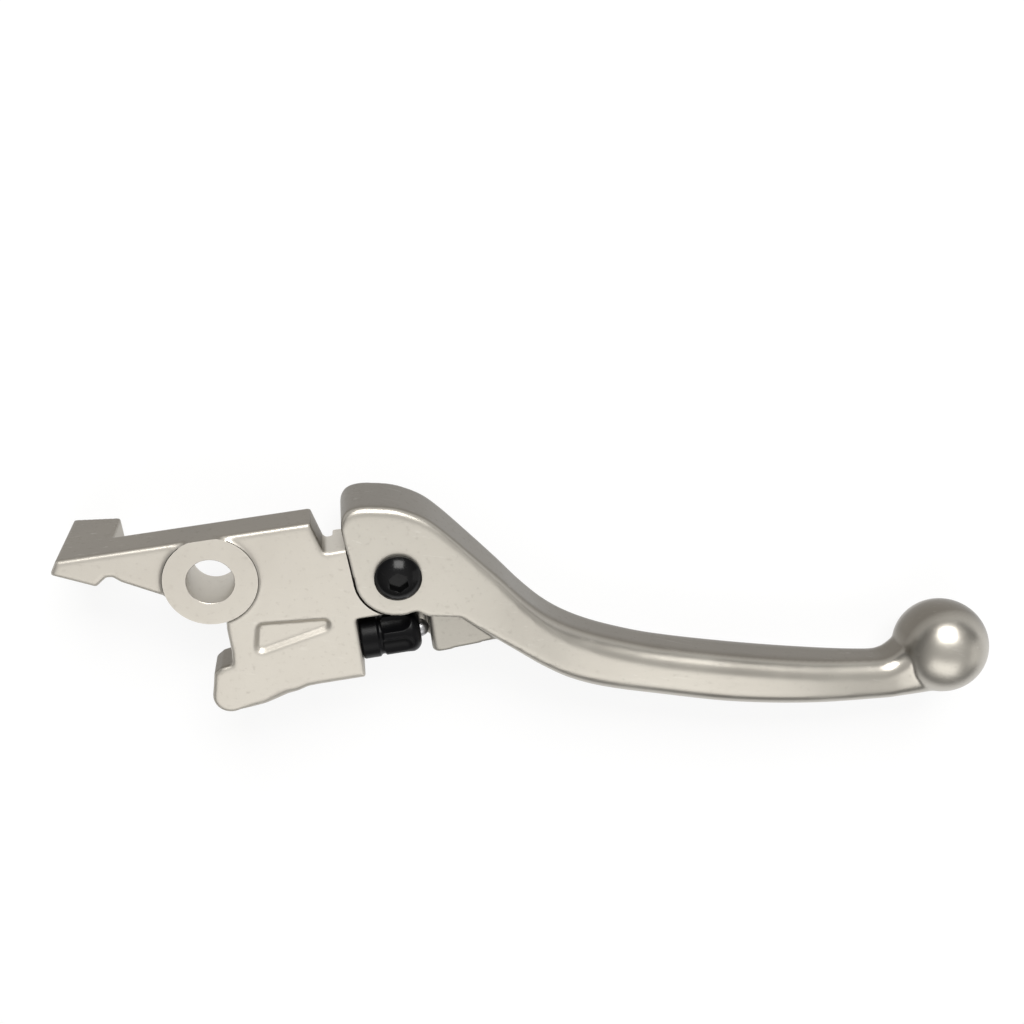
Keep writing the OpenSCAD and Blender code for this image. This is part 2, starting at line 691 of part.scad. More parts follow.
// Fluted knob with a plain collar, which turns on the plunger thread
module adjuster_knob() {
    r = knob_d / 2;
    neck = 0.5;
    break_w = 0.4;
    race_r = detent_d / 2 + run_fit;
    cutter_x = r - flute_depth + flute_r;
    reach = sqrt(pow(flute_r, 2) - pow(flute_r - flute_depth, 2));
    color(black)
        on_adjuster(knob_x)
            difference() {
                rotate_extrude()
                    polygon(concat(
                        [[plunger_d / 2 + run_fit, 0], [r - break_w, 0], [r, break_w],
                         [r, knob_collar - break_w], [r - neck, knob_collar],
                         [r - neck, knob_collar + neck], [r, knob_collar + 2 * neck]],
                        arc([r - knob_round, knob_len - knob_round], knob_round, 0, 90, 8),
                        [[plunger_d / 2 + run_fit, knob_len]]));
                for (i = [0:flutes - 1])
                    rotate([0, 0, 180 + flute_turn + 360 * i / flutes]) {
                        translate([cutter_x, 0, knob_collar + neck])
                            cylinder(h = knob_len - knob_collar - neck - knob_round - reach, r = flute_r);
                        translate([cutter_x, 0, knob_len - knob_round - reach])
                            sphere(r = flute_r);
                    }
                rotate_extrude()
                    translate([detent_r, detent_depth - race_r])
                        circle(r = race_r);
                for (i = [0:flutes - 1])
                    rotate([0, 0, 270 + 360 * i / flutes])
                        translate([detent_r, 0, detent_depth + click_depth - race_r])
                            sphere(r = race_r);
            }
}

// Threaded plunger with a flat on its tail and a domed tip
module adjuster_plunger() {
    tip_r = plunger_d / 2;
    tail_x = seat_x - plunger_tail;
    color(black) {
        on_adjuster(tail_x)
            difference() {
                union() {
                    cylinder(h = tip_x - tip_r - tail_x, r = tip_r);
                    translate([0, 0, tip_x - tip_r - tail_x])
                        sphere(r = tip_r);
                }
                translate([-2 * tip_r, -tip_r - cut, -cut])
                    cube([tip_r + plunger_flat, 2 * tip_r + 2 * cut, plunger_tail + plunger_travel + 2 * cut]);
            }
    }
}

module detent_ball() {
    color(steel)
        translate([detent_x, -adjuster_y - detent_r, adjuster_z])
            sphere(d = detent_d);
}

module detent_spring() {
    steps = 10;
    r = detent_d / 2 - detent_wire / 2 - run_fit;
    count = steps * detent_turns;
    path = [for (i = [0:count])
        [r * cos(360 * i / steps), r * sin(360 * i / steps),
         detent_wire / 2 + (detent_len - detent_wire) * i / count]];
    color(steel)
        on_adjuster(detent_x - detent_d / 2 + spring_nest - detent_len, detent_r)
            wire(path, [for (q = path) [q[0], q[1], 0]], detent_wire / 2, 6);
}

base_arm();
lever_blade();
pivot_screw();
lock_nut();
nylon_ring();
hinge_bush();
thrust_washer();
take_up_spring();
adjuster_knob();
adjuster_plunger();
detent_ball();
detent_spring();
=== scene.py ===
"""Motorcycle front brake lever: the looks of its castings, hinge screw and reach adjuster.

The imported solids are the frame. Both castings are modelled again as fused, softened shells with
crisp machined cuts, and the small parts are turned and cut the way a workshop makes them.
Sizes are in millimetres up to the last step, which puts each mesh into metres.
"""

import logging
import math
from dataclasses import dataclass
from enum import Enum
from typing import Callable, Sequence

import bmesh
import bpy
from mathutils import Matrix, Vector


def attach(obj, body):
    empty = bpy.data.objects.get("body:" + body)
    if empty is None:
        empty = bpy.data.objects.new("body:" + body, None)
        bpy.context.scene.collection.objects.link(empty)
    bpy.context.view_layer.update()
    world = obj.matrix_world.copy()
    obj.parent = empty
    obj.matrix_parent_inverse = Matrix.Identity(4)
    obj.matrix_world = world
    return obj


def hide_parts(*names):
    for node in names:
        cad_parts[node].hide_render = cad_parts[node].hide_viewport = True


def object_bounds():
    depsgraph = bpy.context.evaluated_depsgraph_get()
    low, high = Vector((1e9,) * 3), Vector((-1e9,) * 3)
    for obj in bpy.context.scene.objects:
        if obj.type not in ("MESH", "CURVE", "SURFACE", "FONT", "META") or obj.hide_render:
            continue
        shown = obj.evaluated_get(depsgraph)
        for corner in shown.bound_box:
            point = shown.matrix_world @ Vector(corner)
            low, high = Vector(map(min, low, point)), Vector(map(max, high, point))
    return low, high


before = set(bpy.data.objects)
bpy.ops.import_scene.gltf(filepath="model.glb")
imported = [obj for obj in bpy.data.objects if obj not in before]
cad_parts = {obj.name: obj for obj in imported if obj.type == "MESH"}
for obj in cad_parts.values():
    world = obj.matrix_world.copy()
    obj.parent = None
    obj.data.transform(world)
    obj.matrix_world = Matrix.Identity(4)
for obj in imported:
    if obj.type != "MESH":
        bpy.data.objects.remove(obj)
CAD_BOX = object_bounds()

LOG = logging.getLogger("brake_lever")
TO_METRES = Matrix.Scale(0.001, 4)
CUT = 0.5  # how far shells and cutters reach past the face that they share
FAR = 30.0  # past every face of the arm and the blade's head
AF_TO_R = 1.0 / math.cos(math.radians(30.0))  # from half across flats to the corner of a hexagon
HEXAGON, TINY, DETENT, SMALL, MIDDLING, LARGE = 6, 32, 48, 64, 96, 128  # facets round an axis
WHITE = (1.0, 1.0, 1.0, 1.0)

Point2 = tuple[float, float]
Point3 = tuple[float, float, float]
Colour = tuple[float, float, float]
Socket = bpy.types.NodeSocket
Knots = Sequence[Point2]


class Body(Enum):
    """Bodies of the frame that pieces ride on."""

    ARM = "arm"
    BLADE = "blade"
    KNOB = "knob"
    PLUNGER = "plunger"


class Slot(Enum):
    """Material slots of the record."""

    CAST = "cast_aluminium"
    BUFFED = "buffed_aluminium"
    BLACK_STEEL = "black_steel"
    ZINC = "zinc_steel"
    SPRING = "spring_steel"
    PLASTIC = "black_plastic"
    NYLON = "nylon"


# ---------------------------------------------------------------- curves and outlines


def between(value: float, knots: Knots) -> float:
    """Read a straight-line table.

    Args:
        value: where to read.
        knots: rising pairs of place and value.

    Returns:
        The value between the two nearest knots, held flat past the ends.
    """
    if value <= knots[0][0]:
        return knots[0][1]
    for (x0, y0), (x1, y1) in zip(knots, knots[1:]):
        if value <= x1:
            return y0 + (y1 - y0) * (value - x0) / (x1 - x0)
    return knots[-1][1]


def flowing(value: float, knots: Knots) -> float:
    """Read a smooth curve that passes through its knots.

    Args:
        value: where to read.
        knots: rising pairs of place and height.

    Returns:
        The height of the curve.
    """
    count = len(knots)

    def slope(i: int) -> float:
        """Slope of the curve at knot i."""
        a, b = max(i - 1, 0), min(i + 1, count - 1)
        return (knots[b][1] - knots[a][1]) / (knots[b][0] - knots[a][0])

    i = 0
    while i < count - 2 and value > knots[i + 1][0]:
        i += 1
    width = knots[i + 1][0] - knots[i][0]
    t = (value - knots[i][0]) / width
    start = (2 * t**3 - 3 * t**2 + 1) * knots[i][1] + (t**3 - 2 * t**2 + t) * width * slope(i)
    return start + (3 * t**2 - 2 * t**3) * knots[i + 1][1] + (t**3 - t**2) * width * slope(i + 1)


def arc(centre: Point2, radius: float, start: float, stop: float, steps: int) -> list[Point2]:
    """Points on a circle from one angle to another in equal steps, in degrees, both ends included."""
    angles = [math.radians(start + (stop - start) * i / steps) for i in range(steps + 1)]
    return [(centre[0] + radius * math.cos(a), centre[1] + radius * math.sin(a)) for a in angles]


def inset(outline: Sequence[Point2], depths: Sequence[float]) -> list[Point2]:
    """Draw an anticlockwise outline inwards.

    Args:
        outline: the corners.
        depths: how far each corner moves in.

    Returns:
        The new corners.
    """
    drawn: list[Point2] = []
    count = len(outline)
    for i, (x, y) in enumerate(outline):
        before = (Vector(outline[i]) - Vector(outline[i - 1])).normalized()
        after = (Vector(outline[(i + 1) % count]) - Vector(outline[i])).normalized()
        share = depths[i] / (1.0 + before.dot(after))
        drawn.append((x - share * (before.y + after.y), y + share * (before.x + after.x)))
    return drawn


# ---------------------------------------------------------------- shells


class Shell:
    """A closed mesh in the making, in millimetres, shaped by bmesh operators."""

    def __init__(self) -> None:
        """Start with an empty mesh."""
        self.bm: bmesh.types.BMesh = bmesh.new()

    @classmethod
    def taken(cls, obj: bpy.types.Object) -> "Shell":
        """Take the mesh out of an object.

        Args:
            obj: the object, which is removed.

        Returns:
            The shell.
        """
        shell = cls()
        shell.bm.from_mesh(obj.data)
        bpy.data.objects.remove(obj)
        return shell

    @classmethod
    def prism(cls, outline: Sequence[Point2], low: float, high: float) -> "Shell":
        """Draw an outline up along Z.

        Args:
            outline: corners that run anticlockwise.
            low: height of the lower face.
            high: height of the upper face.

        Returns:
            The closed prism.
        """
        shell = cls()
        corners = [shell.bm.verts.new((x, y, low)) for x, y in outline]
        base = shell.bm.faces.new(corners)
        raised = bmesh.ops.extrude_face_region(shell.bm, geom=[base])["geom"]
        tops = [g for g in raised if isinstance(g, bmesh.types.BMVert)]
        bmesh.ops.translate(shell.bm, verts=tops, vec=(0.0, 0.0, high - low))
        return shell.outward()

    @classmethod
    def turned(cls, profile: Sequence[Point2], steps: int = MIDDLING) -> "Shell":
        """Turn a closed profile about Z.

        Args:
            profile: pairs of radius and height, round the section.
            steps: facets round the axis.

        Returns:
            The closed turned shape.
        """
        shell = cls()
        corners = [shell.bm.verts.new((r, 0.0, z)) for r, z in profile]
        closed = list(zip(corners, corners[1:] + corners[:1]))
        on_axis = [max(abs(a.co.x), abs(b.co.x)) < 1e-6 for a, b in closed]
        edges = [shell.bm.edges.new(pair) for pair, skip in zip(closed, on_axis) if not skip]
        bmesh.ops.spin(shell.bm, geom=corners + edges, cent=(0, 0, 0), axis=(0, 0, 1), dvec=(0, 0, 0),
                       angle=math.tau, steps=steps, use_merge=True, use_duplicate=False)
        bmesh.ops.remove_doubles(shell.bm, verts=shell.bm.verts[:], dist=1e-4)
        return shell.outward()

    @classmethod
    def rod(cls, radius: float, low: float, high: float, sides: int = MIDDLING,
            radius_top: float | None = None) -> "Shell":
        """A rod or cone along Z.

        Args:
            radius: radius at the lower end.
            low: height of the lower end.
            high: height of the upper end.
            sides: facets round the axis.
            radius_top: radius at the upper end, if it differs.

        Returns:
            The closed rod.
        """
        shell = cls()
        top = radius if radius_top is None else radius_top
        bmesh.ops.create_cone(shell.bm, cap_ends=True, segments=sides, radius1=radius, radius2=top,
                              depth=high - low, matrix=at(0.0, 0.0, (low + high) / 2))
        return shell

    @classmethod
    def ball(cls, radius: float, detail: int = SMALL) -> "Shell":
        """A ball at the origin.

        Args:
            radius: its radius.
            detail: facets round it.

        Returns:
            The closed ball.
        """
        shell = cls()
        bmesh.ops.create_uvsphere(shell.bm, u_segments=detail, v_segments=detail // 2, radius=radius)
        return shell

    @classmethod
    def block(cls, low: Point3, high: Point3) -> "Shell":
        """A closed block between its lowest and highest corner."""
        outline = [(low[0], low[1]), (high[0], low[1]), (high[0], high[1]), (low[0], high[1])]
        return cls.prism(outline, low[2], high[2])

    @classmethod
    def loft(cls, rings: Sequence[Sequence[Point3]]) -> "Shell":
        """Draw a first ring through the places of the rings that follow.

        Args:
            rings: rings of points with the same count.

        Returns:
            The closed loft.
        """
        shell = cls()
        verts = [shell.bm.verts.new(p) for p in rings[0]]
        edges = list(shell.bm.faces.new(verts).edges)
        for ring in rings[1:]:
            grown = bmesh.ops.extrude_edge_only(shell.bm, edges=edges)["geom"]
            edges = [g for g in grown if isinstance(g, bmesh.types.BMEdge)]
            fresh = [g for g in grown if isinstance(g, bmesh.types.BMVert)]
            by_place = {tuple(round(c, 6) for c in v.co): v for v in fresh}
            verts = [by_place[tuple(round(c, 6) for c in v.co)] for v in verts]
            for vert, place in zip(verts, ring):
                vert.co = place
        bmesh.ops.contextual_create(shell.bm, geom=edges)
        return shell.outward()

    def outward(self) -> "Shell":
        """Turn every face outwards and return the shell."""
        bmesh.ops.recalc_face_normals(self.bm, faces=self.bm.faces[:])
        return self

    def rounded(self, width: float, chosen: Callable[[bmesh.types.BMEdge], bool]) -> "Shell":
        """Round some edges.

        Args:
            width: how far the rounding reaches from the edge.
            chosen: tells whether an edge is rounded.

        Returns:
            The same shell.
        """
        edges = [e for e in self.bm.edges if chosen(e)]
        bmesh.ops.bevel(self.bm, geom=edges, offset=width, offset_type="OFFSET", segments=4,
                        profile=0.5, affect="EDGES", material=-1, clamp_overlap=True)
        return self

    def clipped(self, point: Point3, away: Point3) -> "Shell":
        """Cut off what lies beyond a plane.

        Args:
            point: a point on the plane.
            away: direction of the side that goes.

        Returns:
            The same shell, closed again.
        """
        geom = self.bm.verts[:] + self.bm.edges[:] + self.bm.faces[:]
        cut = bmesh.ops.bisect_plane(self.bm, geom=geom, plane_co=point, plane_no=away, clear_outer=True)
        rim = [g for g in cut["geom_cut"] if isinstance(g, bmesh.types.BMEdge)]
        bmesh.ops.contextual_create(self.bm, geom=rim)
        return self.outward()

    def placed(self, matrix: Matrix) -> "Shell":
        """Move the shell by a matrix and return it."""
        bmesh.ops.transform(self.bm, matrix=matrix, verts=self.bm.verts[:])
        return self

    def with_shell(self, other: "Shell") -> "Shell":
        """Add another shell to this one.

        Args:
            other: the shell that is added.

        Returns:
            This shell.
        """
        carried = bpy.data.meshes.new("carried")
        other.bm.to_mesh(carried)
        self.bm.from_mesh(carried)
        bpy.data.meshes.remove(carried)
        return self

    def as_object(self, name: str) -> bpy.types.Object:
        """Make an object of the shell.

        Args:
            name: name of the object and its mesh.

        Returns:
            The object, still in millimetres.
        """
        mesh = bpy.data.meshes.new(name)
        self.bm.to_mesh(mesh)
        self.bm.free()
        return in_scene(name, mesh)


def in_scene(name: str, data: bpy.types.ID) -> bpy.types.Object:
    """Make an object and put it in the scene.

    Args:
        name: name of the object.
        data: its mesh, curve, lamp or camera.

    Returns:
        The object.
    """
    obj = bpy.data.objects.new(name, data)
    bpy.context.scene.collection.objects.link(obj)
    return obj


def at(x: float, y: float, z: float) -> Matrix:
    """Matrix that moves by x, y and z."""
    return Matrix.Translation((x, y, z))


def turned_by(degrees: float, axis: str) -> Matrix:
    """Matrix that turns about one axis by an angle in degrees."""
    return Matrix.Rotation(math.radians(degrees), 4, axis)


def joined(shells: Sequence[Shell]) -> Shell:
    """Gather shells into one.

    Args:
        shells: closed shells, which may overlap.

    Returns:
        The shell that holds them all.
    """
    whole = Shell()
    for shell in shells:
        whole.with_shell(shell)
    return whole


# ---------------------------------------------------------------- workshop steps on objects


def settle(obj: bpy.types.Object) -> bpy.types.Object:
    """Make an object's modifiers part of its mesh.

    Args:
        obj: the object.

    Returns:
        The same object without modifiers.
    """
    graph = bpy.context.evaluated_depsgraph_get()
    mesh = bpy.data.meshes.new_from_object(obj.evaluated_get(graph))
    old = obj.data
    obj.modifiers.clear()
    obj.data = mesh
    bpy.data.meshes.remove(old)
    return obj


def fuse(obj: bpy.types.Object, grain: float, passes: int) -> bpy.types.Object:
    """Melt overlapping shells into one skin with soft inner and outer corners, as in a casting.

    Args:
        obj: the object with the shells.
        grain: size of the new facets in millimetres.
        passes: how often the skin is smoothed.

    Returns:
        The same object.
    """
    melt = obj.modifiers.new("Melt", "REMESH")
    melt.mode = "VOXEL"
    melt.voxel_size = grain
    melt.adaptivity = 0.0
    soften = obj.modifiers.new("Soften", "SMOOTH")
    soften.factor = 0.5
    soften.iterations = passes
    return settle(obj)


def combine(obj: bpy.types.Object, shell: Shell, operation: str) -> bpy.types.Object:
    """Cut a shell out of an object, unite the two or keep what they share.

    Args:
        obj: the object.
        shell: the closed shell.
        operation: DIFFERENCE, UNION or INTERSECT.

    Returns:
        The same object.
    """
    tool = shell.as_object("tool")
    step = obj.modifiers.new("Combine", "BOOLEAN")
    step.operation = operation
    step.solver = "EXACT"
    step.object = tool
    settle(obj)
    mesh = tool.data
    bpy.data.objects.remove(tool)
    bpy.data.meshes.remove(mesh)
    return obj


def machined(obj: bpy.types.Object, cutters: Sequence[Shell]) -> bpy.types.Object:
    """Cut shells out of an object one by one, with crisp edges.

    Args:
        obj: the object.
        cutters: the closed shells.

    Returns:
        The same object.
    """
    for shell in cutters:
        combine(obj, shell, "DIFFERENCE")
    return obj


def wire_object(name: str, path: Sequence[Point3], radius: float) -> bpy.types.Object:
    """Bend a round wire along a path.

    Args:
        name: name of the piece.
        path: points of the wire's middle, in millimetres.
        radius: radius of the wire.

    Returns:
        The wire as a closed mesh.
    """
    curve = bpy.data.curves.new(name + "_path", "CURVE")
    curve.dimensions = "3D"
    curve.bevel_depth = radius
    curve.bevel_resolution = 3
    curve.use_fill_caps = True
    line = curve.splines.new("POLY")
    line.points.add(len(path) - 1)
    for point, place in zip(line.points, path):
        point.co = (*place, 1.0)
    bent = in_scene(name + "_path", curve)
    graph = bpy.context.evaluated_depsgraph_get()
    mesh = bpy.data.meshes.new_from_object(bent.evaluated_get(graph))
    shell = Shell()
    shell.bm.from_mesh(mesh)
    bmesh.ops.remove_doubles(shell.bm, verts=shell.bm.verts[:], dist=1e-4)
    bpy.data.objects.remove(bent)
    bpy.data.curves.remove(curve)
    bpy.data.meshes.remove(mesh)
    return shell.outward().as_object(name)


# ---------------------------------------------------------------- node trees


class Wiring:
    """Short hand for building a node tree."""

    def __init__(self, tree: bpy.types.NodeTree) -> None:
        """Keep the tree that is built."""
        self.tree = tree

    @classmethod
    def of(cls, owner: bpy.types.Material | bpy.types.World) -> "Wiring":
        """Start afresh on the nodes of a material or a world.

        Args:
            owner: the material or world.

        Returns:
            The wiring of its empty tree.
        """
        owner.use_nodes = True
        owner.node_tree.nodes.clear()
        return cls(owner.node_tree)

    def feed(self, socket: Socket, value: object) -> None:
        """Set an input, or link it.

        Args:
            socket: the input.
            value: a value, or the socket that it comes from.
        """
        if isinstance(value, Socket):
            self.tree.links.new(value, socket)
        else:
            socket.default_value = value

    def node(self, kind: str, values: dict[str | int, object] | None = None, **settings: object) -> bpy.types.Node:
        """Add a node.

        Args:
            kind: the node's type name, after "ShaderNode".
            values: inputs by name or number, each set to a value or linked from a socket.
            settings: properties of the node.

        Returns:
            The new node.
        """
        made = self.tree.nodes.new("ShaderNode" + kind)
        for key, value in settings.items():
            setattr(made, key, value)
        for name, value in (values or {}).items():
            self.feed(made.inputs[name], value)
        return made

    def maths(self, operation: str, first: object, second: object = 0.0, clamp: bool = False) -> Socket:
        """Add a Math node and return its output."""
        return self.node("Math", {0: first, 1: second}, operation=operation, use_clamp=clamp).outputs[0]

    def times(self, first: object, second: object) -> Socket:
        """Multiply two values."""
        return self.maths("MULTIPLY", first, second)

    def total(self, *values: object) -> Socket:
        """Add up values from 0 to 1.

        Args:
            values: the values.

        Returns:
            Their sum, held under 1.
        """
        whole = values[0]
        for value in values[1:]:
            whole = self.maths("ADD", whole, value, clamp=True)
        return whole

    def vector(self, operation: str, first: object, second: object = (0.0, 0.0, 0.0)) -> Socket:
        """Add a Vector Math node and return its output."""
        return self.node("VectorMath", {0: first, 1: second}, operation=operation).outputs["Vector"]

    def parts(self, vector: object) -> bpy.types.NodeOutputs:
        """Split a vector into its X, Y and Z."""
        return self.node("SeparateXYZ", {"Vector": vector}).outputs

    def place(self, space: str = "Object") -> Socket:
        """Add a Texture Coordinate node and return one of its outputs."""
        return self.node("TexCoord").outputs[space]

    def ramp(self, value: object, low: object, high: object, to_low: object = 0.0, to_high: object = 1.0) -> Socket:
        """Add a clamped Map Range node and return its output."""
        ends = {"From Min": low, "From Max": high, "To Min": to_low, "To Max": to_high}
        return self.node("MapRange", {"Value": value, **ends}).outputs["Result"]

    def noise(self, place: object, scale: object, detail: float, rough: float) -> Socket:
        """Add a Noise Texture node and return its value."""
        values = {"Vector": place, "Scale": scale, "Detail": detail, "Roughness": rough}
        return self.node("TexNoise", values).outputs["Fac"]

    def blend(self, share: object, first: object, second: object, mode: str = "MIX") -> Socket:
        """Add a colour Mix node and return its output."""
        values = {0: share, 6: first, 7: second}
        return self.node("Mix", values, data_type="RGBA", blend_type=mode).outputs[2]

    def white_for(self, seen: Socket, kind: str, usual: Socket, output: str) -> None:
        """End the tree with a plain white for some rays.

        Args:
            seen: share of the white.
            kind: type of the node that gives the white.
            usual: shader for all other rays.
            output: type of the output node.
        """
        white = self.node(kind, {"Color": WHITE, "Strength": 1.0}).outputs[0]
        mixed = self.node("MixShader", {0: seen, 1: usual, 2: white}).outputs[0]
        self.node(output, {"Surface": mixed})


class Group(Wiring):
    """A node group in the making."""

    def __init__(self, name: str, outputs: Sequence[str], **inputs: float | Point3) -> None:
        """Start the group with its sockets.

        Args:
            name: name of the group.
            outputs: names of the outputs, which are all values.
            inputs: names and first values of the inputs; three numbers make a vector.
        """
        super().__init__(bpy.data.node_groups.new(name, "ShaderNodeTree"))
        for label, value in inputs.items():
            kind = "NodeSocketFloat" if isinstance(value, float) else "NodeSocketVector"
            self.tree.interface.new_socket(name=label, in_out="INPUT", socket_type=kind).default_value = value
        for label in outputs:
            self.tree.interface.new_socket(name=label, in_out="OUTPUT", socket_type="NodeSocketFloat")
        self.given = self.tree.nodes.new("NodeGroupInput").outputs
        self.result = self.tree.nodes.new("NodeGroupOutput").inputs

    def closed(self, *results: Socket) -> bpy.types.NodeTree:
        """Link the results to the outputs.

        Args:
            results: one socket for each output, in their order.

        Returns:
            The group's tree.
        """
        for result, socket in zip(results, self.result):
            self.tree.links.new(result, socket)
        return self.tree


class Effects:
    """Node groups that more than one finish uses, each built once."""

    def __init__(self) -> None:
        """Build all the groups."""
        self.surface_grain = self._surface_grain()
        self.wear_and_nook_shade = self._wear_and_nook_shade()
        self.scratches = self._scratches()
        self.mottling = self._mottling()
        self.painted_side_shade = self._painted_side_shade()
        self.area = self._area()

    def _surface_grain(self) -> bpy.types.NodeTree:
        """Grain of a blasted or moulded skin.

        Returns:
            A group with the height of the grain and its pits.
        """
        group = Group("surface_grain", ("Height", "Pits"), Scale=2200.0, Pitting=700.0)
        place = group.place()
        fine = group.noise(place, group.given["Scale"], 4.0, 0.6)
        coarse = group.noise(place, group.given["Pitting"], 2.0, 0.5)
        pits = group.ramp(coarse, 0.60, 0.72)
        return group.closed(group.maths("SUBTRACT", fine, group.times(pits, 0.5)), pits)

    def _wear_and_nook_shade(self) -> bpy.types.NodeTree:
        """Bright wear on outer edges and painted shade in the hollows.

        Returns:
            A group with a mask for the worn edges and a mask for the painted shade in the hollows.
        """
        group = Group("wear_and_nook_shade", ("Edges", "Hollows"), Reach=0.0006, Nook=0.0016, Breakup=300.0)
        patchy = group.noise(group.place(), group.given["Breakup"], 3.0, 0.6)
        rim, nook = (group.node("AmbientOcclusion", {"Distance": group.given[reach]}, inside=inside, only_local=True,
                                samples=4).outputs["AO"] for reach, inside in (("Reach", True), ("Nook", False)))
        edges = group.times(group.ramp(rim, 0.80, 0.45), group.ramp(patchy, 0.3, 0.7, 0.35, 1.0))
        return group.closed(edges, group.ramp(nook, 0.85, 0.40))

    def _scratches(self) -> bpy.types.NodeTree:
        """Fine handling scratches, mostly along the part.

        Returns:
            A group with a mask of the scratches.
        """
        group = Group("scratches", ("Mask",), Scale=60.0, Stretch=22.0, Amount=0.5)
        place, stretch = group.place(), group.given["Stretch"]
        tilt = group.node("Mapping", {"Vector": place, "Rotation": (0.2, 0.1, 0.35)}).outputs[0]
        across = group.node("CombineXYZ", {"X": 1.0, "Y": stretch, "Z": stretch}).outputs[0]
        lines = group.noise(group.vector("MULTIPLY", tilt, across), group.given["Scale"], 5.0, 0.62)
        patches = group.ramp(group.noise(place, 40.0, 2.0, 0.5), 0.45, 0.65)
        return group.closed(group.times(group.times(group.ramp(lines, 0.61, 0.70), patches), group.given["Amount"]))

    def _mottling(self) -> bpy.types.NodeTree:
        """Slow cloudy change over a surface.

        Returns:
            A group with a cloudy value around one half.
        """
        group = Group("mottling", ("Cloud",), Scale=55.0, Contrast=1.0)
        slow = group.noise(group.place(), group.given["Scale"], 4.0, 0.5)
        spread = group.times(group.maths("SUBTRACT", slow, 0.5), group.given["Contrast"])
        return group.closed(group.maths("ADD", spread, 0.5, clamp=True))

    def _painted_side_shade(self) -> bpy.types.NodeTree:
        """Painted shade on the faces that point sideways: full on those facing +Y or straight -Y, a quarter on most
        others.

        Returns:
            A group with the mask of the painted shade, 1 on the sides.
        """
        group = Group("painted_side_shade", ("Side",), From=0.66, To=0.25, Low=-0.3, High=0.5, Least=0.25)
        given, facing = group.given, group.parts(group.place("Normal"))
        side = group.ramp(group.maths("ABSOLUTE", facing["Z"]), given["From"], given["To"])
        upper = group.ramp(facing["Y"], given["Low"], given["High"], given["Least"], 1.0)
        lower = group.ramp(facing["Y"], -0.70, -0.92)
        return group.closed(group.times(side, group.maths("MAXIMUM", upper, lower)))

    def _area(self) -> bpy.types.NodeTree:
        """A soft box in the part's own frame, for places whose colour is set apart.

        Returns:
            A group with a mask that is 1 inside the box.
        """
        zero = (0.0, 0.0, 0.0)
        group = Group("colour_box", ("Mask",), Fade=0.0003, Centre=zero, Half=zero)
        away = group.vector("ABSOLUTE", group.vector("SUBTRACT", group.place(), group.given["Centre"]))
        past = group.parts(group.vector("SUBTRACT", away, group.given["Half"]))
        furthest = group.maths("MAXIMUM", group.maths("MAXIMUM", past["X"], past["Y"]), past["Z"])
        return group.closed(group.ramp(furthest, group.given["Fade"], 0.0))


@dataclass(frozen=True)
class Area:
    """A box on the part where the colour is set apart, in metres."""

    centre: Point3
    half: Point3

    def mask(self, wiring: Wiring, effects: Effects) -> Socket:
        """Add the group that gives the mask of this box and return its output."""
        box = {"Centre": self.centre, "Half": self.half}
        return wiring.node("Group", box, node_tree=effects.area).outputs["Mask"]


